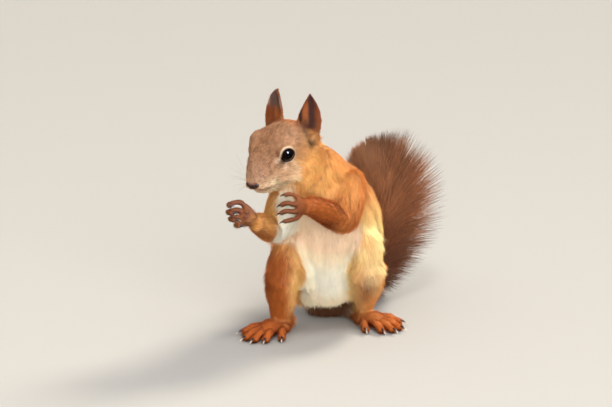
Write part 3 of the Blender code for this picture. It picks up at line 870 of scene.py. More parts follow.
mouthStations = [(27.8, 0, -14.2), (26.2, 4.6, -14.1), (22.8, 7.3, -14.6), (19.0, 9.1, -14.6), (15.5, 10.2, -13.8)]
lipSplit = [(29.4, 0, -11.8), (28.2, 0, -14.2), (26.4, 0, -15.6)]
earSlit = [(-17.0, 12.7, 12.0), (-16.2, 13.2, 7.8), (-16.6, 13.4, 4.6), (-18.6, 14.6, 2.0)]
# each crease's dark is the strength of the painted shade laid in it; at the mouth it also stands for the lips' own
# dark skin
creases = {
    "mouth": {"path": smoothPath(mouthStations, 14), "depth": 1.0, "width": 0.9, "dark": 0.95},
    "lipSplit": {"path": lipSplit, "depth": 0.6, "width": 0.5, "dark": 0.7},
    "earSlit": {"path": earSlit, "depth": 1.7, "width": 1.35, "dark": 1.0},
}


def creaseMask(points, plan):
    # 1 on the crease, on either side of the head, and less with distance
    forward, aside, upward = toHead(points).T
    path = np.column_stack([plan["path"], np.zeros(len(plan["path"]))])
    return lump(boneGap(np.column_stack([forward, np.abs(aside), upward]), path), plan["width"])


normals = pointNormals(points, tris)
for plan in creases.values():
    points = points - normals * (plan["depth"] * creaseMask(points, plan))[:, None]

skinPoints, skinTris = modified(points, tris, "DECIMATE", ratio=skinPlan["faces"] / len(tris))
skinPoints[:, 2] = np.maximum(skinPoints[:, 2], 0.0)
skinNormals = pointNormals(skinPoints, skinTris)
skinWeb = Web(skinTris, len(skinPoints))
skinShares = partShares(skinPoints)
print("skin modelled:", len(skinTris), "faces")


# ---- markings, worn alike by the skin and the coat, with painted sunlight and painted shade among them

palette = {
    "greyBrown": (172, 126, 92), "beige": (200, 160, 124), "cream": (248, 216, 180), "white": (252, 240, 224),
    "rust": (184, 96, 36), "deepRust": (136, 58, 20), "orange": (234, 168, 96), "gold": (246, 188, 110),
    # the palest yellow, 255, 228, 170, is painted sunlight for where the sun strikes the coat
    "backRed": (212, 126, 60), "paleYellow": (250, 200, 128), "paintedSunlight": (255, 228, 170),
    "handBrown": (136, 76, 40), "palm": (136, 88, 88), "tail": (226, 154, 106), "tailDeep": (138, 78, 50),
    # 70, 34, 22 is the inside of the ear: its own brown, deepened by painted shade in the hollow
    "tailDark": (66, 48, 39), "earBack": (140, 70, 30), "earInner": (70, 34, 22), "earPale": (206, 176, 160),
    "snout": (186, 146, 118), "streak": (104, 56, 28), "earFold": (184, 104, 50), "earGrey": (110, 84, 74),
    # 52, 30, 22 is the dark bare skin of lids and lips, and also painted shade in creases, the ear's slit and
    # under the hands
    "ring": (244, 214, 186), "paw": (200, 106, 38), "lipDarkAndShade": (52, 30, 22), "bellySkin": (214, 168, 160),
    # 88, 54, 32 is painted shade, for the belly's foot by the floor
    "under": (88, 54, 32),
}
palette = {name: linearColour(*levels) for name, levels in palette.items()}
baseColours = {
    "head": "greyBrown", "ear": "earBack", "neck": "orange", "trunk": "orange", "upperArm": "orange",
    "forearm": "rust", "hand": "handBrown", "thigh": "orange", "shank": "orange", "foot": "paw",
    "tail": "tail",
}


def wave(points, size, phase=0.0):
    # a smooth uneven pattern from crossed sines, between -1 and 1
    p = points / size
    a = np.sin(p[:, 0] * 1.7 + 1.3 * np.sin(p[:, 2] * 1.1 + phase) + phase)
    b = np.sin(p[:, 1] * 1.3 + 1.7 * np.sin(p[:, 0] * 0.9 + phase * 2) + 2 * phase)
    c = np.sin(p[:, 2] * 1.9 + 1.1 * np.sin(p[:, 1] * 1.4 - phase) + 3 * phase)
    return (a + b + c) / 3


def tint(colour, name, mask):
    return colour + (palette[name] - colour) * np.clip(mask, 0, 1)[:, None]


def earPlace(points, side):
    # how far up the ear from its root, how far across it, and the way it opens
    root, lean, opening, across = earAxes(side)
    ray = toHead(points) - root
    up = ray[:, 2] / earPlan["height"]
    ray = ray - np.outer(up * earPlan["height"], lean)
    return up, ray @ across, unit(opening @ headAxes)


# In the marks below, f and u are places forward and up on the head, x, y and z are places on
# the whole animal, and each ease is one edge of the mark: it starts at the first number and
# is full at the second. The last number is the mark's strength.


class Painting:
    # the colour at some points, washed over with one mark after another
    def __init__(self, points, normals, shares):
        self.points, self.normals, self.shares = points, normals, shares
        base = [shares[:, [k]] * palette[baseColours[part.split(".")[0]]] for k, part in enumerate(partNames)]
        self.colour = sum(base)
        self.rough = wave(points, 2.6)  # makes the marks' edges uneven

    def of(self, *stems):
        return shareOf(self.shares, *stems)

    def wash(self, name, mask):
        self.colour = tint(self.colour, name, mask)


def markHead(paint):
    # from the crown down to the throat
    wash, of, rough, z = paint.wash, paint.of, paint.rough, paint.points[:, 2]
    f, _, u = toHead(paint.points).T
    head = of("head")
    wash("orange", head * ease(-13, -21, f + 0.5 * rough))
    wash("rust", head * ease(-6, -13, f + rough) * ease(9, 14, u) * 0.5)
    wash("beige", head * ease(1, -7, u + rough) * ease(25, 15, f) * 0.9)
    wash("cream", head * ease(-8, -14, u + 0.8 * rough) * ease(26, 17, f) * ease(-16, -8, f) * 0.7)
    wash("cream", head * ease(14, 19, f) * ease(-4, -8, u + rough) * ease(30, 26, f) * 0.45)
    wash("snout", head * ease(18, 24, f) * ease(-12, -7, u) * 0.6)
    wash("cream", head * ease(-14, -18, u) * ease(24, 14, f) * ease(-10, 0, f) * 0.6)
    temple = (head + of("neck") * ease(108, 114, z)) * ease(2, -4, f) * ease(-18, -14, f)
    wash("greyBrown", temple * ease(14, 8, u) * ease(-8, 0, u) * 0.6)
    wash("gold", head * ease(-11, -18, f + rough) * ease(3, -5, u + rough) * 0.8)
    wash("gold", head * ease(0, -8, f + rough) * ease(-7, -14, u + rough) * 0.75)


def markEyes(paint):
    # a pale ring round each eye, the dark of its lids, and a streak before it; then the mouth
    wash, head = paint.wash, paint.of("head")
    for side, ringShare in (("left", 0.8), ("right", 0.15)):
        _, _, ahead, over = eyeFrame(side)
        ray, _, _, past = aboutEye(paint.points, side)
        close = ease(12, 9, np.linalg.norm(ray, axis=1)) * ringShare
        wash("ring", close * ease(19, 11, past) * ease(-2, 3, past))
        a, b = ray @ ahead, ray @ over
        corner = 4 + 3 * ease(4, 7, a - b)
        wash("lipDarkAndShade", ease(10, 8, np.abs(a) + np.abs(b)) * ease(corner, -1, past))
        wash("streak", head * np.exp(-(((a - 6.9) / 1.1) ** 2) - ((b - 0.8) / 3.6) ** 2))
    # the mouth line: the lips' own dark skin and painted shade in the crease
    wash("lipDarkAndShade", head * creaseMask(paint.points, creases["mouth"]) * 0.8)


def markEars(paint):
    # the left ear is dark inside, its own brown deepened by painted shade in the hollow, and has a rusty fold
    # along its front edge; the right has a grey top with a pale rim
    wash, rough = paint.wash, paint.rough
    for side in sides:
        ear = paint.of(f"ear.{side}")
        up, across, opening = earPlace(paint.points, side)
        facing = paint.normals @ opening
        inside = ear * ease(0.05, 0.45, facing)
        where = across / earPlan["halfWidth"]
        if side == "left":
            facing = ear * ease(-0.1, 0.3, facing)
            fold = facing * ease(-0.02, -0.36, where + 0.12 * rough) * ease(-1.0, -0.65, where + 0.1 * rough)
            # painted shade deepens the left ear's hollow, over its own brown
            wash("earInner", inside * ease(0.24, 0.36, up) * ease(0.8, 0.3, where + 0.1 * rough))
            wash("earFold", fold * ease(1.0, 0.8, up) * ease(0.25, 0.6, up + 0.08 * rough) * 0.8)
            wash("streak", fold * ease(0.6, 0.42, up) * ease(0.1, 0.25, up) * 0.85)
            wash("lipDarkAndShade", facing * ease(-0.8, -0.98, where) * ease(0.15, 0.4, up) * 0.7)
        else:
            wash("earFold", inside * ease(0.2, -0.3, where + 0.15 * rough) * ease(0.74, 0.6, up) * 0.85)
            wash("earGrey", inside * ease(0.85, 0.6, np.abs(where)) * ease(0.6, 0.7, up))
            wash("earPale", ear * ease(0.6, 0.85, np.abs(where)) * ease(0.62, 0.74, up) * 0.55)


def bibMask(paint):
    # the white chest, whose left edge moves across as it rises
    x, _, z = paint.points.T
    edge = 22 - 42 * ease(77, 96, z)
    across = ease(-31.5, -28, x + paint.rough) * ease(edge + 2, edge - 2, x + paint.rough)
    return ease(60.5, 63.5, z + paint.rough) * across * ease(0.0, 0.5, -paint.normals[:, 1])


def bellyMask(paint):
    # the belly's white stripe, wider above
    x, _, z = paint.points.T
    width = 15.0 + 6 * ease(48, 62, z) + 1.5 * ease(24, 8, z)
    stripe = ease(width + 1.5, width - 1.5, np.abs(x + 0.5) + 0.8 * paint.rough)
    return stripe * ease(0.1, 0.4, -paint.normals[:, 1]) * ease(66, 60, z)


def markBody(paint):
    # flanks and back, with painted sunlight on the side the sun strikes, then the inner thighs, the throat, the
    # bib and the belly, with painted shade under the arm and low on the belly
    wash, of, rough = paint.wash, paint.of, paint.rough
    x, y, z = paint.points.T
    toSide, toBack = paint.normals[:, 0], paint.normals[:, 1]
    body, legs, neck = of("trunk", "neck"), of("thigh", "shank"), of("neck")
    # painted sunlight: the sides are washed pale where the sun strikes them, most on the left
    sunlitFlank = ease(0.15, 0.75, np.abs(toSide)) * ease(106, 88, z) * ease(10, 26, z)
    sunlitFlank *= ease(0.6, -0.1, toBack) * (0.2 + 0.7 * ease(-2, 14, x))
    wash("paintedSunlight", (body + of("thigh")) * sunlitFlank)
    # painted sunlight: gold on the upper body where it faces the sun, on the left
    wash("gold", body * ease(-0.1, 0.5, toSide) * ease(66, 84, z) * 0.65)
    wash("beige", body * ease(-0.3, 0.4, toBack) * ease(78, 96, z) * 0.5)
    ruddy = ease(0.15, 0.7, toBack) * ease(4, 14, y) * ease(18, 34, z) * (1 - 0.6 * ease(18, 28, x))
    wash("backRed", body * ruddy * 0.75)
    neckSide = neck * ease(-14, -7, x) * ease(96, 104, z) * ease(124, 114, z) * ease(0.5, -0.2, toBack)
    wash("gold", neckSide * 0.6)
    bib, belly = bibMask(paint), bellyMask(paint)
    inner = ease(31, 24, np.abs(x + 0.5) + 4 * ease(0, -4, x)) * ease(69, 60, z)
    inner *= (legs + body) * ease(6, 14, z) * ease(0.0, 0.5, -toBack)
    white = body * np.maximum(bib, belly)
    wash("paleYellow", inner * 0.95)
    # painted sunlight on the left inner thigh, which the sun strikes
    wash("paintedSunlight", inner * ease(6, 16, x) * 0.3)
    wash("white", white)
    # the upper belly and the chest's foot are dulled to cream and beige: partly the chest's own cream, partly
    # painted shade from the arms above
    wash("cream", white * ease(46, 60, z) * 0.65)
    wash("beige", body * bib * ease(58, 66, z) * 0.2)
    wash("gold", body * bib * ease(92, 99, z) * 0.7)
    # the lower belly is dulled to cream: partly its own duller hair, partly painted shade
    wash("cream", body * belly * ease(36, 16, z) * 0.85)
    wash("white", legs * belly * ease(17, 13, np.abs(x + 0.5)))
    wash("bellySkin", body * np.exp(-(((x + 4.0) / 1.6) ** 2) - ((z - 19.5) / 1.5) ** 2) * 0.5)
    # painted shade: the belly's foot, next to the floor, goes dark brown
    wash("under", body * ease(15.5, 13.0, z + 0.5 * rough))


def markArms(paint):
    # rust upper arms, the left with a deep rust lower edge that is painted shade; the right one gold, with rust
    # below that is painted shade; and painted shade on the undersides of the hands
    wash, of, rough = paint.wash, paint.of, paint.rough
    x, _, z = paint.points.T
    facingUp = paint.normals[:, 2]
    leftArm, rightArm = of("upperArm.left", "forearm.left"), of("upperArm.right", "forearm.right")
    shoulder = leftArm + of("neck") * ease(-2, 6, x)
    wash("rust", leftArm * ease(102, 84, z + rough) * 0.5)
    # painted shade: deep rust along the left upper arm's lower edge
    wash("deepRust", leftArm * ease(91, 77, z + 1.5 * rough) * ease(12, 4, x) * 0.35)
    wash("orange", leftArm * ease(76.5, 74, z) * 0.8)
    wash("backRed", shoulder * ease(80, 92, z) * 0.35)
    wash("gold", rightArm * 0.9)
    # painted shade: rust on the right arm's downward-facing side
    wash("rust", rightArm * ease(0.0, -0.7, facingUp) * 0.55)
    wash("white", rightArm * bibMask(paint) * ease(63, 66, z))
    # painted shade under the fingers, where they face down
    wash("lipDarkAndShade", of("hand") * ease(0.1, -0.8, facingUp) * 0.7)


def markLegs(paint):
    # orange feet with dark soles, a deep rust patch of painted shade where the left thigh folds over the shank,
    # painted sunlight along the left side's edge, and the right leg's rust outer side
    wash, of = paint.wash, paint.of
    x, y, z = paint.points.T
    toSide, toBack, facingUp = paint.normals.T
    body, legs, feet = of("trunk", "neck"), of("thigh", "shank"), of("foot")
    wash("deepRust", feet * ease(0.25, -0.5, facingUp) * 0.9)
    wash("lipDarkAndShade", feet * ease(2.2, 0.6, z) * 0.6)
    wash("orange", of("foot.left") * ease(4, 8, z) * 0.35)
    wash("paw", legs * ease(30, 18, z) * ease(14, 22, x) * 0.35)
    wash("orange", legs * ease(18, 25, x) * ease(60, 50, z) * 0.5)
    # painted shade: a deep rust patch in the fold between the left thigh and the shank
    patch = np.exp(-(((x - 27 - 0.12 * (z - 34)) / 5.4) ** 2) - ((z - 36) / 14) ** 2)
    wash("deepRust", legs * patch * ease(0.5, 0.1, toBack))
    # painted sunlight along the left side's edge, where the sun strikes
    sunlitFlankEdge = ease(20, 30, x) * ease(0.35, -0.2, toBack) * ease(24, 48, z) * ease(92, 68, z)
    wash("paintedSunlight", (body + legs) * sunlitFlankEdge * 0.7)
    outerLeg = (of("thigh.right") + body * ease(62, 54, z)) * ease(36, 14, y) + of("shank.right")
    wash("rust", outerLeg * ease(-19, -27, x) * 0.95)
    wash("palm", of("hand.right") * ease(0.1, 0.6, toSide * 0.7 - facingUp * 0.3))


def markings(points, normals, shares):
    # the colour that the coat has at some points, painted sunlight and painted shade included
    paint = Painting(points, normals, shares)
    for mark in (markHead, markEyes, markEars, markBody, markArms, markLegs):
        mark(paint)
    # the slit at the ear's foot is painted shade: its dark hairs are rooted ahead of it
    slit = creaseMask(points - headForward * 2.9 - headUp * 0.8, creases["earSlit"]) ** 0.35
    paint.wash("lipDarkAndShade", paint.of("head", "ear", "neck") * slit)
    return paint.colour


skinColours = markings(skinPoints, skinNormals, skinShares)
# the creases are darkened: painted shade in the folds, over the lips' own dark at the mouth
for plan in creases.values():
    skinColours = tint(skinColours, "lipDarkAndShade", creaseMask(skinPoints, plan) ** 1.5 * plan["dark"])

skinColours = skinColours * skinPlan["shade"]
skinNodes = [*fleshNodes, *tailNodes]
addForm("skin", (skinPoints, skinTris), skinColours, hideFinish("hide"), "coat_orange", skinNodes)
print("skin painted")


# ---- the lie of the coat

down = np.array([0.0, 0.0, -1.0])


def boneAxis(part):
    # the way from a part's first station to its last
    return unit(bones[part][-1, :3] - bones[part][0, :3])


noseTip = fromHead((31.0, 0.0, -9.0))


def lieOf(points, normals, shares):
    # each part sends its hair its own way; the ways are blended, laid on the skin and smoothed
    flow = np.zeros_like(points)
    for k, part in enumerate(partNames):
        stem = part.split(".")[0]
        way = {
            "neck": unit(np.array([0.30, 0.35, -1.0])),
            "trunk": unit(np.array([0.0, 0.10, -1.0])),
            "tail": unit(np.array([0.2, 0.2, 1.0])),
            "thigh": unit(boneAxis(part)) * 0.2 + down * 0.95,
            "upperArm": unit(boneAxis(part) + down * 0.5),
            "shank": unit(boneAxis(part) + down * 0.4),
            "head": unit(points - noseTip) * 0.8 - headForward * 0.35 - headUp * 0.1,
        }.get(stem, unit(boneAxis(part)))
        flow += shares[:, [k]] * way
    for _ in range(16):
        flow = skinWeb.mean(unit(laidOn(flow, normals)))
    return unit(laidOn(flow, normals))


skinFlow = lieOf(skinPoints, skinNormals, skinShares)


def bendAlong(points, normals, flow, web):
    # how fast the skin turns away along the hair: positive on a bulge
    step = points[web.b] - points[web.a]
    turn = normals[web.b] - normals[web.a]
    alongA, alongB = (step * flow[web.a]).sum(1), (step * flow[web.b]).sum(1)
    turnA, turnB = (turn * flow[web.a]).sum(1), (turn * flow[web.b]).sum(1)
    bend = web.spread(turnA * alongA, turnB * alongB) / np.maximum(web.spread(alongA**2, alongB**2), 1e-6)
    return np.clip(web.soften(bend, 0.5, 14), -0.05, 0.12)


skinBend = bendAlong(skinPoints, skinNormals, skinFlow, skinWeb)

skinCoat = {name: skinWeb.soften(planned(skinShares, name), 0.5, 6) for name in partColumns[2:]}
forward, _, upward = toHead(skinPoints).T
headShare, trunkShare = shareOf(skinShares, "head"), shareOf(skinShares, "trunk")
muzzle = headShare * ease(10, 24, forward)
cheek = headShare * ease(-2, -9, upward) * ease(17, 6, forward)
nearEye = sum(ease(11, 7, np.linalg.norm(skinPoints - eyeFrame(side)[0], axis=1)) for side in sides)
# the white front lies flatter and longer, and hair is short where the skin folds in
whiteFront = trunkShare * ease(0.1, 0.5, -skinNormals[:, 1])
inwards = ((skinWeb.soften(skinPoints, 0.5, 60) - skinPoints) * skinNormals).sum(1)
fold = skinWeb.soften(ease(0.1, 0.6, inwards), 0.5, 8) * (1 - headShare)
hem = trunkShare * ease(30, 20, skinPoints[:, 1])
hem *= ease(22, 12, skinPoints[:, 2])
earFoot = creaseMask(skinPoints - headForward * 2.0, creases["earSlit"]) ** 0.5
# how much longer, higher and so on the hair is at each of these places
changes = [
    (whiteFront, {"length": 0.15, "rise": -0.3}),
    (fold, {"length": -0.35, "rise": -0.6}),
    (muzzle, {"length": -0.55, "rise": -0.62, "thick": -0.25, "grizzle": 0.3}),
    (cheek, {"length": 0.45, "rise": 0.5, "grizzle": -0.4}),
    (nearEye, {"length": -0.4, "rise": -0.7, "thick": -0.3}),
    (hem, {"length": 0.35}),
    (earFoot, {"length": -0.5, "rise": -0.6}),
]
for mask, shareAdded in changes:
    for key, added in shareAdded.items():
        skinCoat[key] *= 1 + added * mask
triAreas = np.linalg.norm(triCross(skinPoints, skinTris), axis=1) / 2
print("lie of the coat laid out")


# ---- locks of hair

hairRing = np.radians([30.0, 150.0, 270.0])  # a flat side faces out
hairLimits = {"flat": 0.6, "lowest": 0.12, "darkest": 0.004, "palest": 0.92}


def hairForms(rings, tip, sideways, above, sizes):
    # each hair is a three-sided spike: a triangle at each ring, and a point
    count, steps = len(tip), len(rings)
    points = np.empty((count, steps * 3 + 1, 3))
    for k, (centre, size) in enumerate(zip(rings, sizes)):
        for j, angle in enumerate(hairRing):
            offset = sideways * np.cos(angle) + above * (hairLimits["flat"] * np.sin(angle))
            points[:, 3 * k + j] = centre + offset * size[:, None]
    points[:, -1] = tip
    faces = [(0, 2, 1)]
    for k in range(steps - 1):
        for j in range(3):
            a, b = 3 * k + j, 3 * k + (j + 1) % 3
            faces += [(a, b, b + 3), (a, b + 3, a + 3)]
    last = 3 * (steps - 1)
    faces += [(last + j, last + (j + 1) % 3, last + 3) for j in range(3)]
    faces = np.array(faces)
    start = np.arange(count)[:, None, None] * (steps * 3 + 1)
    return points.reshape(-1, 3), (faces[None] + start).reshape(-1, 3)


def partMap(roots, parts):
    # the skin unrolled round each part's axis: turn across, way along it upwards; parts side by side
    gaps = np.stack([boneGap(roots, bones[part]) for part in parts], 1)
    nearest = gaps.argmin(1)
    place = np.zeros((len(roots), 2))
    for k, part in enumerate(parts):
        mine = nearest == k
        axis = boneAxis(part)
        across = unit(np.cross(axis, (0.31, 0.9, 0.3)))
        over = np.cross(axis, across)
        ray = roots[mine] - bones[part][0, :3]
        turn = np.arctan2(ray @ over, ray @ across) / (2 * np.pi) + 0.5
        along = ray @ axis
        low, high = (along.min(), along.max()) if mine.any() else (0, 1)
        place[mine, 0] = (k + 0.03 + 0.92 * turn) / len(parts)
        place[mine, 1] = 0.02 + 0.95 * (along - low) / max(high - low, 1e-6)
    return place


def hairSpots(place, perHair):
    # each hair's own small patch of the unrolled skin, laid at its root
    patch = 0.003  # a share of the whole
    number = np.arange(perHair)
    across = np.where(number == perHair - 1, 0.5, (number % 3) / 2) * patch
    along = (number // 3) / (number[-1] // 3) * patch
    return (place[:, None] + np.stack([across, along], 1)[None]).reshape(-1, 2)


def writeCoat(name, batches, slotName, material):
    # a batch is points, faces, colours and spots
    start, faces = 0, []
    for batch in batches:
        faces.append(batch[1] + start)
        start += len(batch[0])
    points, colours, spots = (np.concatenate([batch[k] for batch in batches]) for k in (0, 2, 3))
    points[:, 2] = np.maximum(points[:, 2], hairLimits["lowest"])
    faces = np.concatenate(faces)
    mesh = makeMesh(name, points, faces, smooth=False)
    setPointColour(mesh, np.clip(colours, hairLimits["darkest"], hairLimits["palest"]))
    layer = mesh.uv_layers.new(name="OFBake")
    layer.uv.foreach_set("vector", spots[faces.ravel()].astype(np.float32).ravel())
    addPiece(name, mesh, material, slotName)
    print(name, len(faces), "faces")


lockPlan = {
    # each is the least, then what the hair's own draw and its lock's draw add to it
    "reach": (0.72, 0.34, 0.2),
    "lift": (0.62, 0.3, 0.22),
    "thick": (0.75, 0.5),
    "rooted": (0.25, 0.1),  # depth under the skin, and what the hair's rise adds to it
    "droop": 0.12,  # how far the tip sinks, as a share of the rise
    "mid": {"along": 0.46, "up": 0.74, "bend": 0.21, "gather": 0.35},  # shares of the tip's own
    "warp": {"size": 3.0, "amount": 1.2, "jitter": 0.25},  # keeps the locks from being square
    "swingDegrees": {"lock": 13, "hair": 9, "wave": 10},
    "tone": {"lock": 0.22, "hair": 0.18},
    # hairs whose draw is below dark's first number or above pale's stand out, by the second
    "fleck": {"byLock": 0.65, "dark": (0.33, 1.1), "pale": (0.62, 0.8)},
    "shade": {"root": 0.66, "whiteRoot": 0.32, "straightRoot": 1.25, "mid": 0.9, "tip": 1.08},
    "white": (0.35, 0.6),  # how much blue makes a hair start to be white, and wholly white
}


def lockNumbers(cells):
    # each hair's lock: hairs of one cell share a number
    return np.unique(cells, return_inverse=True)[1].reshape(-1)


def swing(degrees, draw):
    # a draw of 0 to 1 turned into an angle of at most that many degrees to either side
    return np.radians(degrees) * (draw - 0.5) * 2


def drawn(plan, own, lock):
    least, byHair, byLock = plan
    return least + byHair * own + byLock * lock


def growCoat(name, slotName, material, parts, chosen, count, seed, straight, cell, gather):
    # hairs spread evenly over the chosen skin; straight is the share with no bend of its own
    rng = np.random.default_rng(seed)
    total = np.cumsum(triAreas * chosen[skinTris].mean(1))
    pick = np.searchsorted(total, (np.arange(count) + rng.random(count)) / count * total[-1])
    pick = np.minimum(pick, len(skinTris) - 1)
    a, b = np.sqrt(rng.random(count)), rng.random(count)
    share = np.stack([1 - a, a * (1 - b), a * b], 1)
    corner = skinTris[pick]

    def at(values):
        return (values[corner] * (share if values.ndim == 1 else share[:, :, None])).sum(1)

    root, normal, flow, bend = at(skinPoints), unit(at(skinNormals)), at(skinFlow), at(skinBend)
    length, rise, thick = at(skinCoat["length"]), at(skinCoat["rise"]), at(skinCoat["thick"])
    paint = markings(root, normal, partShares(root))
    whiteness = ease(*lockPlan["white"], paint[:, 2])
    grizzle = at(skinCoat["grizzle"]) * (1 - 0.8 * whiteness)

    # hairs rooted in one small cell make a lock and lean together
    plan = lockPlan["warp"]
    warp = np.stack([wave(root, plan["size"], 0.7 * k) for k in range(3)], 1) * plan["amount"]
    warp += rng.normal(0, plan["jitter"], root.shape)
    cells = np.floor((root + warp) / cell).astype(np.int64)
    lock = lockNumbers(cells @ np.array([1, 4096, 4096 * 4096]))
    members = np.bincount(lock)
    middle = np.stack([np.bincount(lock, root[:, k]) / members for k in range(3)], 1)[lock]
    lockDraw = rng.random((len(members), 5))[lock]
    draw = rng.random((count, 7))
    fleck = np.where(draw[:, 6] < lockPlan["fleck"]["byLock"], lockDraw[:, 4], draw[:, 5])

    degrees = lockPlan["swingDegrees"]
    turn = swing(degrees["lock"], lockDraw[:, 0]) + swing(degrees["hair"], draw[:, 0])
    turn += np.radians(degrees["wave"]) * wave(root, 7.0, 1.9)
    flow = unit(laidOn(flow, normal))
    heading = turned(turn, flow, np.cross(normal, flow))
    sideways = np.cross(normal, heading)
    reach = length * drawn(lockPlan["reach"], draw[:, 1], lockDraw[:, 1])
    lift = rise * drawn(lockPlan["lift"], draw[:, 2], lockDraw[:, 2])
    offset = laidOn(root - middle, normal)
    drop = 0.5 * bend * reach**2
    plan = lockPlan["mid"]
    mid = root + heading * (reach * plan["along"])[:, None]
    mid = mid + normal * (lift * plan["up"] - drop * plan["bend"])[:, None] - offset * gather * plan["gather"]
    tip = root + heading * reach[:, None] + normal * (lift - drop)[:, None] - offset * gather
    tip = tip + down * (rise * lockPlan["droop"])[:, None]
    deep, deeper = lockPlan["rooted"]
    base = root - normal * (deep + deeper * rise)[:, None]
    size = thick * (lockPlan["thick"][0] + lockPlan["thick"][1] * draw[:, 3])
    tone = (lockDraw[:, 3] - 0.5) * lockPlan["tone"]["lock"] + (draw[:, 4] - 0.5) * lockPlan["tone"]["hair"]
    tone = 1 + tone * (1 - 0.6 * whiteness)
    (low, darker), (high, paler) = lockPlan["fleck"]["dark"], lockPlan["fleck"]["pale"]
    speck = np.where(fleck < low, 1 - darker * grizzle, np.where(fleck > high, 1 + paler * grizzle, 1.0))
    shade = lockPlan["shade"]
    rootPaint = paint * (shade["root"] + shade["whiteRoot"] * whiteness)[:, None]
    midPaint = paint * (tone * (shade["mid"] + (1 - shade["mid"]) * speck))[:, None]
    tipPaint = paint * (tone * speck * shade["tip"])[:, None]
    spots = partMap(root, parts)
    batches = []
    for bent in (False, True):
        mine = (rng.random(count) >= straight) == bent
        if not mine.any():
            continue
        rings, paints = [base[mine]], [rootPaint[mine] * (1 if bent else shade["straightRoot"])]
        if bent:
            rings.append(mid[mine])
            paints.append(midPaint[mine])
        sizes = [size[mine], size[mine] * 0.82]
        points, faces = hairForms(rings, tip[mine], sideways[mine], normal[mine], sizes)
        colours = np.stack([paint for paint in paints for _ in range(3)] + [tipPaint[mine]], 1)
        batches.append((points, faces, colours.reshape(-1, 3), hairSpots(spots[mine], 3 * len(rings) + 1)))
    writeCoat(name, batches, slotName, material)


softCoat = coatFinish("coatSoft", 0.62, 0.04)
faceCoat = coatFinish("coatShort", 0.68, 0.03)

frontHead = ease(-2, 4, forward)
bareNose = ease(31.5, 28.5, forward)
lidFree = np.ones(len(skinPoints))
for side in sides:
    ray, _, _, past = aboutEye(skinPoints, side)
    lidFree *= np.where(np.linalg.norm(ray, axis=1) < 9, ease(3, 7, past), 1)
trunkFront = ease(0.25, -0.25, skinNormals[:, 1])
facing = {side: skinNormals @ earPlace(skinPoints, side)[2] for side in sides}
innerEar = sum(shareOf(skinShares, f"ear.{side}") * ease(0.2, 0.6, facing[side]) for side in sides)
worn = {
    "Face": headShare * frontHead * bareNose * lidFree,
    "Crown": headShare * (1 - frontHead) * lidFree,
    "Ears": shareOf(skinShares, "ear") * (1 - 0.6 * innerEar),
    "Neck": shareOf(skinShares, "neck"),
    "Back": trunkShare * (1 - trunkFront),
    "Belly": trunkShare * trunkFront,
    "Arms": shareOf(skinShares, "upperArm", "forearm"),
    "Legs": shareOf(skinShares, "thigh", "shank"),
    "Paws": shareOf(skinShares, "foot", "hand"),
}
armParts = [f"{part}.{side}" for side in sides for part in ("upperArm", "forearm")]
legParts = [f"{part}.{side}" for part in ("thigh", "shank") for side in sides]
pawParts = [f"{part}.{side}" for part in ("foot", "hand") for side in sides]
earParts = [f"ear.{side}" for side in sides]
coatPieces = [
    # piece, slot, finish, parts, hairs, seed, share of straight hairs, cell of a lock, gathering of its tips
    ("Face", "coat_grey_brown", faceCoat, ["head"], 38000, 1, 1.0, 1.1, 0.3),
    ("Crown", "coat_grey_brown", faceCoat, ["head"], 26000, 2, 1.0, 1.4, 0.4),
    ("Ears", "coat_rust", faceCoat, earParts, 16000, 3, 1.0, 1.0, 0.3),
    ("Neck", "coat_orange", softCoat, ["neck"], 20000, 4, 0.8, 1.8, 0.55),
    ("Back", "coat_orange", softCoat, ["trunk", "tail"], 36000, 5, 0.85, 2.0, 0.55),
    ("Belly", "coat_orange", softCoat, ["trunk"], 36000, 6, 0.8, 1.7, 0.3),
    ("Arms", "coat_rust", softCoat, armParts, 30000, 7, 0.85, 1.6, 0.55),
    ("Legs", "coat_orange", softCoat, legParts, 36000, 8, 0.85, 1.8, 0.55),
    ("Paws", "coat_orange", faceCoat, pawParts, 23000, 9, 1.0, 0.9, 0.2),
]
for piece, slotName, finish, parts, *numbers in coatPieces:
    growCoat(f"coat{piece}", slotName, finish, parts, worn[piece], *numbers)


# ---- the tail's long hair

tailPlan = {
    "count": 14800,  # in each half
    "thick": 0.22,
    "sweepDegrees": (8.0, 66.0),  # away from the bone's own way: at its tip, and low down
    "longest": 58.0,
    "core": {"at": [0, 0.15, 0.9, 1], "radius": [8.6, 7.2, 4.8, 2.8]},
    "lockCells": (90, 26),  # along the tail and round it
    "swingDegrees": {"lock": 10, "hair": 7},
    "sweepSwing": 12,
    "closerBehind": 14,  # degrees less sweep on the side away from the fan
    # share of the outline that a hair reaches, and what its draw and its lock's take from it
    "filled": (1.04, 0.45, 0.08),
    "reachSteps": np.linspace(6, 64, 30),
    "tone": {"lock": 0.5, "hair": 0.3},
    "shade": {"root": 0.62, "mid": 0.92, "midDark": 0.2},
}
tailRows = smoothPath(tailStations, 90)
boneRows = smoothPath(tailBone, 90)


def pathAxes(rows):
    # three directions at each row: along the path, across it, and square to both
    along = unit(np.gradient(rows[:, :3], axis=0))
    across = unit(np.array(tailSide) - (along @ np.array(tailSide))[:, None] * along)
    return along, across, np.cross(along, across)


tailAlong, tailAcross, tailOver = pathAxes(tailRows)
boneAxes = pathAxes(boneRows)


def tailFill(points):
    # 0 on the tail's axis and 1 at its outline, found at the nearest row of its path
    link = points[:, None] - tailRows[None, :, :3]
    row = (link**2).sum(2).argmin(1)
    ray = points - tailRows[row, :3]
    wide = (ray * tailAcross[row]).sum(1) / tailRows[row, 3]
    deep = (ray * tailOver[row]).sum(1) / tailRows[row, 4]
    beyond = (ray * tailAlong[row]).sum(1) / (0.95 * tailRows[row, 4])
    beyond = np.where((row == len(tailRows) - 1) & (beyond > 0), beyond, 0)
    return np.sqrt(wide**2 + deep**2 + beyond**2)


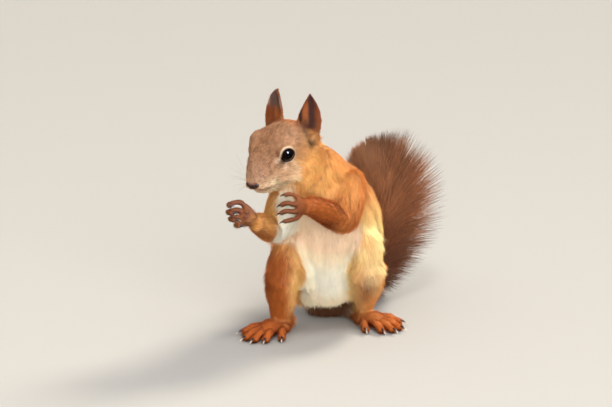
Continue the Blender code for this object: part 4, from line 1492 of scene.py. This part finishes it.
def growTail(name, low, high, seed):
    # hairs rooted on the core between two shares of its length, each reaching the tail's outline
    rng = np.random.default_rng(seed)
    count = tailPlan["count"] // 1
    draw = rng.random((count, 10))
    at = low + (high - low) * (np.arange(count) + draw[:, 0]) / count
    place = at * (len(boneRows) - 1)
    k = np.clip(place.astype(int), 0, len(boneRows) - 2)
    t = (place - k)[:, None]
    centre = boneRows[k] * (1 - t) + boneRows[k + 1] * t
    along, across, over = (axis[k] for axis in boneAxes)
    turn = draw[:, 1] * 2 * np.pi
    # locks: hairs of one small cell on the core point the same way
    cellsAlong, cellsRound = tailPlan["lockCells"]
    cell = np.floor(at * cellsAlong + 0.6 * draw[:, 7]).astype(int) * 64
    cell += np.floor(turn / (2 * np.pi) * cellsRound + 0.6 * draw[:, 8]).astype(int)
    lock = lockNumbers(cell)
    lockDraw = rng.random((lock.max() + 1, 4))[lock]
    core = np.interp(at, tailPlan["core"]["at"], tailPlan["core"]["radius"])
    root = centre + turned(turn, across, over) * (core * 0.9)[:, None]
    degrees = tailPlan["swingDegrees"]
    lean = swing(degrees["lock"], lockDraw[:, 0]) + swing(degrees["hair"], draw[:, 2])
    outward = turned(turn + lean, across, over)
    least, most = tailPlan["sweepDegrees"]
    sweep = least + (most - least) * ease(1.02, 0.38, at) * (1 - 0.3 * draw[:, 3] ** 2)
    away = ease(0.2, -0.8, np.cos(turn))
    sweep = sweep - tailPlan["closerBehind"] * away * ease(0.3, 0.5, at) * ease(0.85, 0.6, at)
    sweep = np.radians(sweep + tailPlan["sweepSwing"] * (lockDraw[:, 1] - 0.5))
    way = unit(turned(sweep, along, outward))
    # the length is where the way leaves the share of the outline that this hair fills
    full, lessByHair, lessByLock = tailPlan["filled"]
    share = full - lessByHair * draw[:, 4] ** 1.5 - lessByLock * lockDraw[:, 2]
    steps = tailPlan["reachSteps"]
    fill = np.stack([tailFill(root + way * step) for step in steps], 1)
    outside = fill >= share[:, None]
    first = np.where(outside.any(1), outside.argmax(1), len(steps) - 1)
    reach = np.minimum(steps[first] + 2 * (draw[:, 9] - 0.5), tailPlan["longest"] * (0.8 + 0.2 * draw[:, 6]))
    tip = root + way * reach[:, None]
    earlier = unit(turned(sweep * 0.8, along, outward))
    mid = root + earlier * (reach * 0.5)[:, None] + rng.normal(0, 0.02, root.shape) * reach[:, None]
    sideways = unit(np.cross(outward, way))
    size = tailPlan["thick"] * (0.7 + 0.6 * draw[:, 5])
    points, faces = hairForms([root, mid], tip, sideways, np.cross(way, sideways), [size * 0.8, size])
    # brown, darkening to the points of the hairs that make the outline, least towards the front
    offAxis = tip[:, 0] - centre[:, 0]
    toFront = ease(0.25, 0.8, -(unit(tip - centre) @ np.array([0.1, 1.0, 0.0])))
    outline = ease(0.72, 1.0, tailFill(tip)) * (1 - 0.8 * toFront) * (0.35 + 0.65 * ease(-22, 10, offAxis))
    tone, shade = tailPlan["tone"], tailPlan["shade"]
    tone = 1 + (lockDraw[:, 3] - 0.5) * tone["lock"] + (draw[:, 6] - 0.5) * tone["hair"]
    brown = tint(palette["tail"], "tailDeep", ease(0.68, 0.2, at)) * tone[:, None]
    brown = tint(brown, "beige", np.maximum(ease(8, -14, offAxis) * 0.4, 0.25) * ease(0.3, 0.8, at))
    midPaint = brown * shade["mid"] + (palette["tailDark"] - brown) * (shade["midDark"] * outline)[:, None]
    colours = np.stack([brown * shade["root"]] * 3 + [midPaint] * 3 + [tint(brown, "tailDark", outline)], 1)
    spot = np.column_stack([0.02 + 0.95 * turn / (2 * np.pi), 0.02 + 0.95 * (at - low) / (high - low)])
    writeCoat(name, [(points, faces, colours.reshape(-1, 3), hairSpots(spot, 7))], "coat_tail", tailCoat)


tailCoat = coatFinish("coatTail", 0.6, 0.04)
growTail("coatTailLow", 0.05, 0.60, 21)
growTail("coatTailHigh", 0.60, 1.0, 22)


# ---- eyes

eyeGrid = {"rows": 40, "columns": 64, "bulge": 0.35, "irisDegrees": 44.0, "pupilDegrees": 22.0}
eyeColours = {
    "pupil": linearColour(6, 5, 6),
    "iris": linearColour(15, 10, 9),
    "white": linearColour(16, 10, 9),  # beyond the iris; nearly as dark
}
lidRim = {"thick": 0.3, "proud": 0.12, "rows": 96, "columns": 10, "colour": linearColour(24, 14, 12)}


def blend(first, second, share):
    return first + (second - first) * share[:, None]


def buildEye(side):
    # a sphere drawn by angle from the way it looks, with a cornea that swells as a cosine
    centre, out, _, over = eyeFrame(side)
    angle = np.linspace(0, np.pi, eyeGrid["rows"])
    radius = headPlan["eyeRadius"] * 0.985 + eyeGrid["bulge"] * ease(0.85, 0.1, angle)
    path = centre + np.outer(np.cos(angle) * radius, out)
    form = tubeForm(path[::-1], (np.sin(angle) * radius + 1e-4)[::-1], eyeGrid["columns"], upward=over)
    away = np.degrees(np.arccos(np.clip(unit(form[0] - centre) @ out, -1, 1)))
    pupil, iris = eyeGrid["pupilDegrees"], eyeGrid["irisDegrees"]
    colour = blend(eyeColours["pupil"], eyeColours["iris"], ease(pupil - 2, pupil + 2, away))
    colour = blend(colour, eyeColours["white"], ease(iris - 6, iris + 2, away))
    addForm(f"eyeBall.{side}", form, colour, eyeSurface, "eye_dark", [f"eye_{side}"])


def lidRimForm(side):
    # bare dark skin along the edge of the lids: a bead carried round the opening
    rows, columns = lidRim["rows"], lidRim["columns"]
    turn = np.linspace(0, 2 * np.pi, rows + 1)[:-1]
    way = lidWay(side, lidAngle(turn, side), turn)
    path = eyeFrame(side)[0] + way * (headPlan["eyeRadius"] + lidRim["proud"])
    across = unit(np.cross(unit(np.roll(path, -1, 0) - np.roll(path, 1, 0)), way))
    bead = np.linspace(0, 2 * np.pi, columns, endpoint=False)[None, :, None]
    ring = np.cos(bead) * across[:, None] + np.sin(bead) * way[:, None]
    points = (path[:, None] + lidRim["thick"] * ring).reshape(-1, 3)
    return points, quadsToTris(gridFaces(rows + 1, columns) % len(points))


eyeSurface = eyeFinish()
for side in sides:
    buildEye(side)
bareSkin = leatherFinish("bareSkin", 0.42)
rims = outwards(*joinForms([lidRimForm(side) for side in sides]))
addForm("lidRims", rims, lidRim["colour"], bareSkin, "nose_dark")
print("eyes made")


# ---- nose

nosePlan = {
    "centre": (27.6, 0.4, -11.2),
    "half": (2.2, 4.9, 2.5),  # forward, sideways, up
    "narrowing": 0.34,  # how much less wide it is at its foot
    "nostril": (2.5, 0.0),
    "nostrilDepth": 1.2,
    "groove": {"width": 0.28, "depth": 0.45},
    "dark": linearColour(50, 31, 25),
    "top": linearColour(116, 78, 62),
    # the last is painted shade inside the nostrils
    "nostrilShade": linearColour(14, 8, 7),
}


def nostrilMask(aside, upward, wide, tall):
    # a slanting comma on either side of the middle
    off = np.abs(aside) - nosePlan["nostril"][0]
    rise = upward - nosePlan["nostril"][1] - 0.45 * off
    return np.exp(-((off / wide) ** 2) - (rise / tall) ** 2)


def buildNose():
    # a rounded triangle in front view, wide above; each nostril is a comma-shaped dent
    rows, columns = 44, 72
    angle = np.linspace(0, np.pi, rows)[:, None]
    turn = np.linspace(0, 2 * np.pi, columns, endpoint=False)[None]
    a = np.cos(angle) + 0 * turn
    b, c = np.sin(angle) * np.cos(turn), np.sin(angle) * np.sin(turn)
    wide = 1 - nosePlan["narrowing"] * ease(0.3, -1.0, c)
    deep, across, tall = nosePlan["half"]
    place = np.stack([a * deep, b * across * wide, c * tall], -1)
    dent = nostrilMask(place[..., 1], place[..., 2], 0.95, 0.48) * ease(0, 0.4, a)
    groove = lump(place[..., 1], nosePlan["groove"]["width"]) * ease(0.1, 0.5, a) * nosePlan["groove"]["depth"]
    place[..., 0] -= dent * nosePlan["nostrilDepth"] + groove
    points = fromHead(place.reshape(-1, 3) + np.array(nosePlan["centre"]))
    points, tris = mergeDoubles(*outwards(points, quadsToTris(gridFaces(rows, columns))))
    forward, aside, upward = (toHead(points) - np.array(nosePlan["centre"])).T
    colour = blend(nosePlan["dark"], nosePlan["top"], ease(0.3, 1.8, upward) * ease(3.6, 1.6, np.abs(aside)))
    # painted shade inside the nostrils
    dark = nostrilMask(aside, upward, 1.1, 0.6) * ease(-0.5, 0.5, forward)
    colour = blend(colour, nosePlan["nostrilShade"], dark)
    addForm("nosePad", (points, tris), colour, bareSkin, "nose_dark", ["nose"])


buildNose()
print("nose made")


# ---- claws: a tapering hook in place of each plain one

clawPlan = {
    "lengthen": {"foot": 1.0, "hand": 0.6},
    "hook": {"foot": 0.16, "hand": 0.2},
    "thick": (0.92, 0.06),  # at the root, and left at the point
    "sides": 10,
    "rings": 12,
    "dark": (46, 34, 30),
    "pale": {
        "foot.left": (214, 198, 178),
        "foot.right": (214, 198, 178),
        "hand.left": (96, 80, 72),
        # the right hand's paler points are partly painted highlight, over their own pale horn
        "hand.right": (172, 154, 146),
    },
}


def digitTip(limb, side, k):
    if limb == "hand":
        return np.array(handPlan[side]["tips"][k])
    return footPlace(side)(*toePlan["tips"][k], toePlan["tipHeight"])


def curve(start, middle, end, t):
    # the quadratic curve from start to end that is drawn towards the middle
    return (1 - t) ** 2 * start + 2 * t * (1 - t) * middle + t**2 * end


def clawForm(node, hold, limb):
    # the node's longest way gives the claw its root and point; the digit's tip is at its root
    points, _ = mergeDoubles(*meshArrays(cadNodes[node].data))
    spread = points - points.mean(0)
    axis = np.linalg.svd(spread, full_matrices=False)[2][0]
    along = spread @ axis
    if np.linalg.norm(points[along.argmax()] - hold) < np.linalg.norm(points[along.argmin()] - hold):
        along = -along
    start = points[along < along.min() + 0.3].mean(0)
    chord = points[along.argmax()] - start
    length = np.linalg.norm(chord)
    end = start + chord * clawPlan["lengthen"][limb]
    middle = (start + end) / 2 + np.array([0, 0, 1.0]) * length * clawPlan["hook"][limb]
    t = np.linspace(0, 1, clawPlan["rings"])[:, None]
    most, least = clawPlan["thick"]
    path = curve(start - chord * 0.15, middle, end, t)
    size = most * (1 - t[:, 0]) ** 0.75 + least
    form = tubeForm(path, size, clawPlan["sides"], 0.75, upward=(0.1, 0.2, 1.0))
    return form, np.append(np.repeat(t[:, 0], clawPlan["sides"]), [0, 1])


horn = hornFinish()
for limb, number in (("foot", 5), ("hand", 4)):
    for side in sides:
        names = [f"claw_{limb}_{side}_{k}" for k in range(1, number + 1)]
        made = [clawForm(name, digitTip(limb, side, k), limb) for k, name in enumerate(names)]
        form = outwards(*joinForms([form for form, _ in made]))
        t = np.concatenate([share for _, share in made])
        dark, pale = linearColour(*clawPlan["dark"]), linearColour(*clawPlan["pale"][f"{limb}.{side}"])
        addForm(f"claws.{limb}.{side}", form, blend(dark, pale, ease(0.35, 0.95, t)), horn, "claw_horn", names)
print("claws made")


# ---- whiskers

whiskerPlan = {
    "perSide": 13,
    "rows": 4,
    "long": 27.0,
    "thick": 0.05,
    "seed": 5,
    "pad": (23.5, 5.6, -9.2),  # where the first is rooted
    "colour": linearColour(96, 72, 56),
}


def buildWhiskers():
    # each is a quadratic curve from the whisker pad, sweeping out and back
    rng = np.random.default_rng(whiskerPlan["seed"])
    forms = []
    t = np.linspace(0, 1, 12)[:, None]
    forward, aside, upward = whiskerPlan["pad"]
    for sign in (1, -1):
        for k in range(whiskerPlan["perSide"]):
            row, spot = k % whiskerPlan["rows"], k // whiskerPlan["rows"]
            start = np.array([forward - 2.2 * spot, sign * (aside + 0.85 * spot), upward - 1.35 * row])
            ahead, rise = 0.15 - 0.28 * spot + 0.1 * rng.normal(), 0.22 - 0.26 * row + 0.08 * rng.normal()
            way = unit(np.array([ahead, sign * 1.0, rise]))
            long = whiskerPlan["long"] * (0.55 + 0.15 * spot + 0.25 * rng.random())
            end = start + way * long + np.array([-0.30 * long, 0, -0.12 * long])
            path = curve(start - way * 1.5, start + way * long * 0.5, end, t)
            forms.append(tubeForm(fromHead(path), whiskerPlan["thick"] * (1 - 0.85 * t[:, 0]), 5))
    finish = coatFinish("whiskerHair", 0.4, 0.0)
    addForm("whiskers", joinForms(forms), whiskerPlan["colour"], finish, "coat_grey_brown")


buildWhiskers()
print("whiskers made")


# ---- floor, light and camera


floorPlan = {"half": 6000.0, "colour": (0.36, 0.355, 0.345, 1)}


def buildFloor():
    # one flat square, wide enough to have no edge in sight
    corners = np.array([(-1, -1), (1, -1), (1, 1), (-1, 1)]) * floorPlan["half"]
    mesh = makeMesh("floor", np.column_stack([corners, np.zeros(4)]), np.array([[0, 1, 2, 3]]), smooth=False)
    floor = placed("floor", mesh)
    finish = Finish("floorPale", Roughness=0.85, Specular_IOR_Level=0.2, Base_Color=floorPlan["colour"])
    mesh.materials.append(finish.material)
    floor.visible_glossy = False  # the eyes mirror the sun and the glint lamp alone


def addLight(name, plan):
    # a lamp with a spread shines evenly from far off; one with a size is a round panel
    lamp = bpy.data.lights.new(name, "SUN" if "spreadDegrees" in plan else "AREA")
    lamp.energy, lamp.color = plan["strength"], plan["colour"]
    holder = placed(name, lamp)
    holder.rotation_euler = Vector(plan["from"]).to_track_quat("Z", "Y").to_euler()
    holder.visible_camera = False
    holder.visible_glossy = plan.get("mirrored", False)
    holder.visible_diffuse = holder.visible_transmission = plan.get("lights", True)
    if lamp.type == "SUN":
        lamp.angle = np.radians(plan["spreadDegrees"])
    else:
        lamp.shape, lamp.size = "DISK", plan["size"]
        holder.location = toRow(fromHead(headPlan["eye"])) + unit(np.array(plan["from"])) * plan["away"]


view = {
    "aim": (-12.16, 20.0, 83.8),
    "far": 1.6,
    "riseDegrees": 16.0,
    "wide": 0.392,  # how much it takes in at that distance
    "sensor": 36.0,
}


def buildCamera():
    # looks at the aim from the front and from above, by the rise
    rise = np.radians(view["riseDegrees"])
    lens = bpy.data.cameras.new("camera")
    lens.sensor_width = view["sensor"]
    lens.lens = view["sensor"] * view["far"] / view["wide"]
    holder = placed("camera", lens)
    holder.location = toRow(view["aim"]) + np.array([0, -np.cos(rise), np.sin(rise)]) * view["far"]
    holder.rotation_euler = (np.pi / 2 - rise, 0, 0)
    bpy.context.scene.camera = holder


lightPlan = {
    "sun": {
        "from": (0.70, 0.60, 0.75),
        "strength": 3.9,
        "spreadDegrees": 18.0,
        "colour": (1.0, 0.9, 0.75),
        "mirrored": True,
    },
    "fill": {"from": (0.30, -1.0, 0.16), "strength": 4.2, "spreadDegrees": 60.0, "colour": (1.0, 0.95, 0.88)},
    "key": {"from": (0.05, -0.405, 0.913), "away": 1.0, "size": 0.2, "strength": 5.0, "colour": (1.0, 0.97, 0.92)},
    "glint": {
        "from": (0.32, -0.74, 0.59),
        "away": 1.0,
        "size": 0.5,
        "strength": 26.0,
        "colour": (0.8, 0.9, 1.0),
        "mirrored": True,
        "lights": False,
    },
}
skyPlan = {"Color": (1.0, 0.97, 0.94, 1), "Strength": 0.9}
buildFloor()
for name, plan in lightPlan.items():
    addLight(name, plan)
world = bpy.data.worlds.new("studio")
bpy.context.scene.world = world
world.use_nodes = True
for socket, value in skyPlan.items():
    world.node_tree.nodes["Background"].inputs[socket].default_value = value
world.cycles_visibility.glossy = False
buildCamera()
bpy.context.scene.view_settings.view_transform = "Standard"
print("studio set")
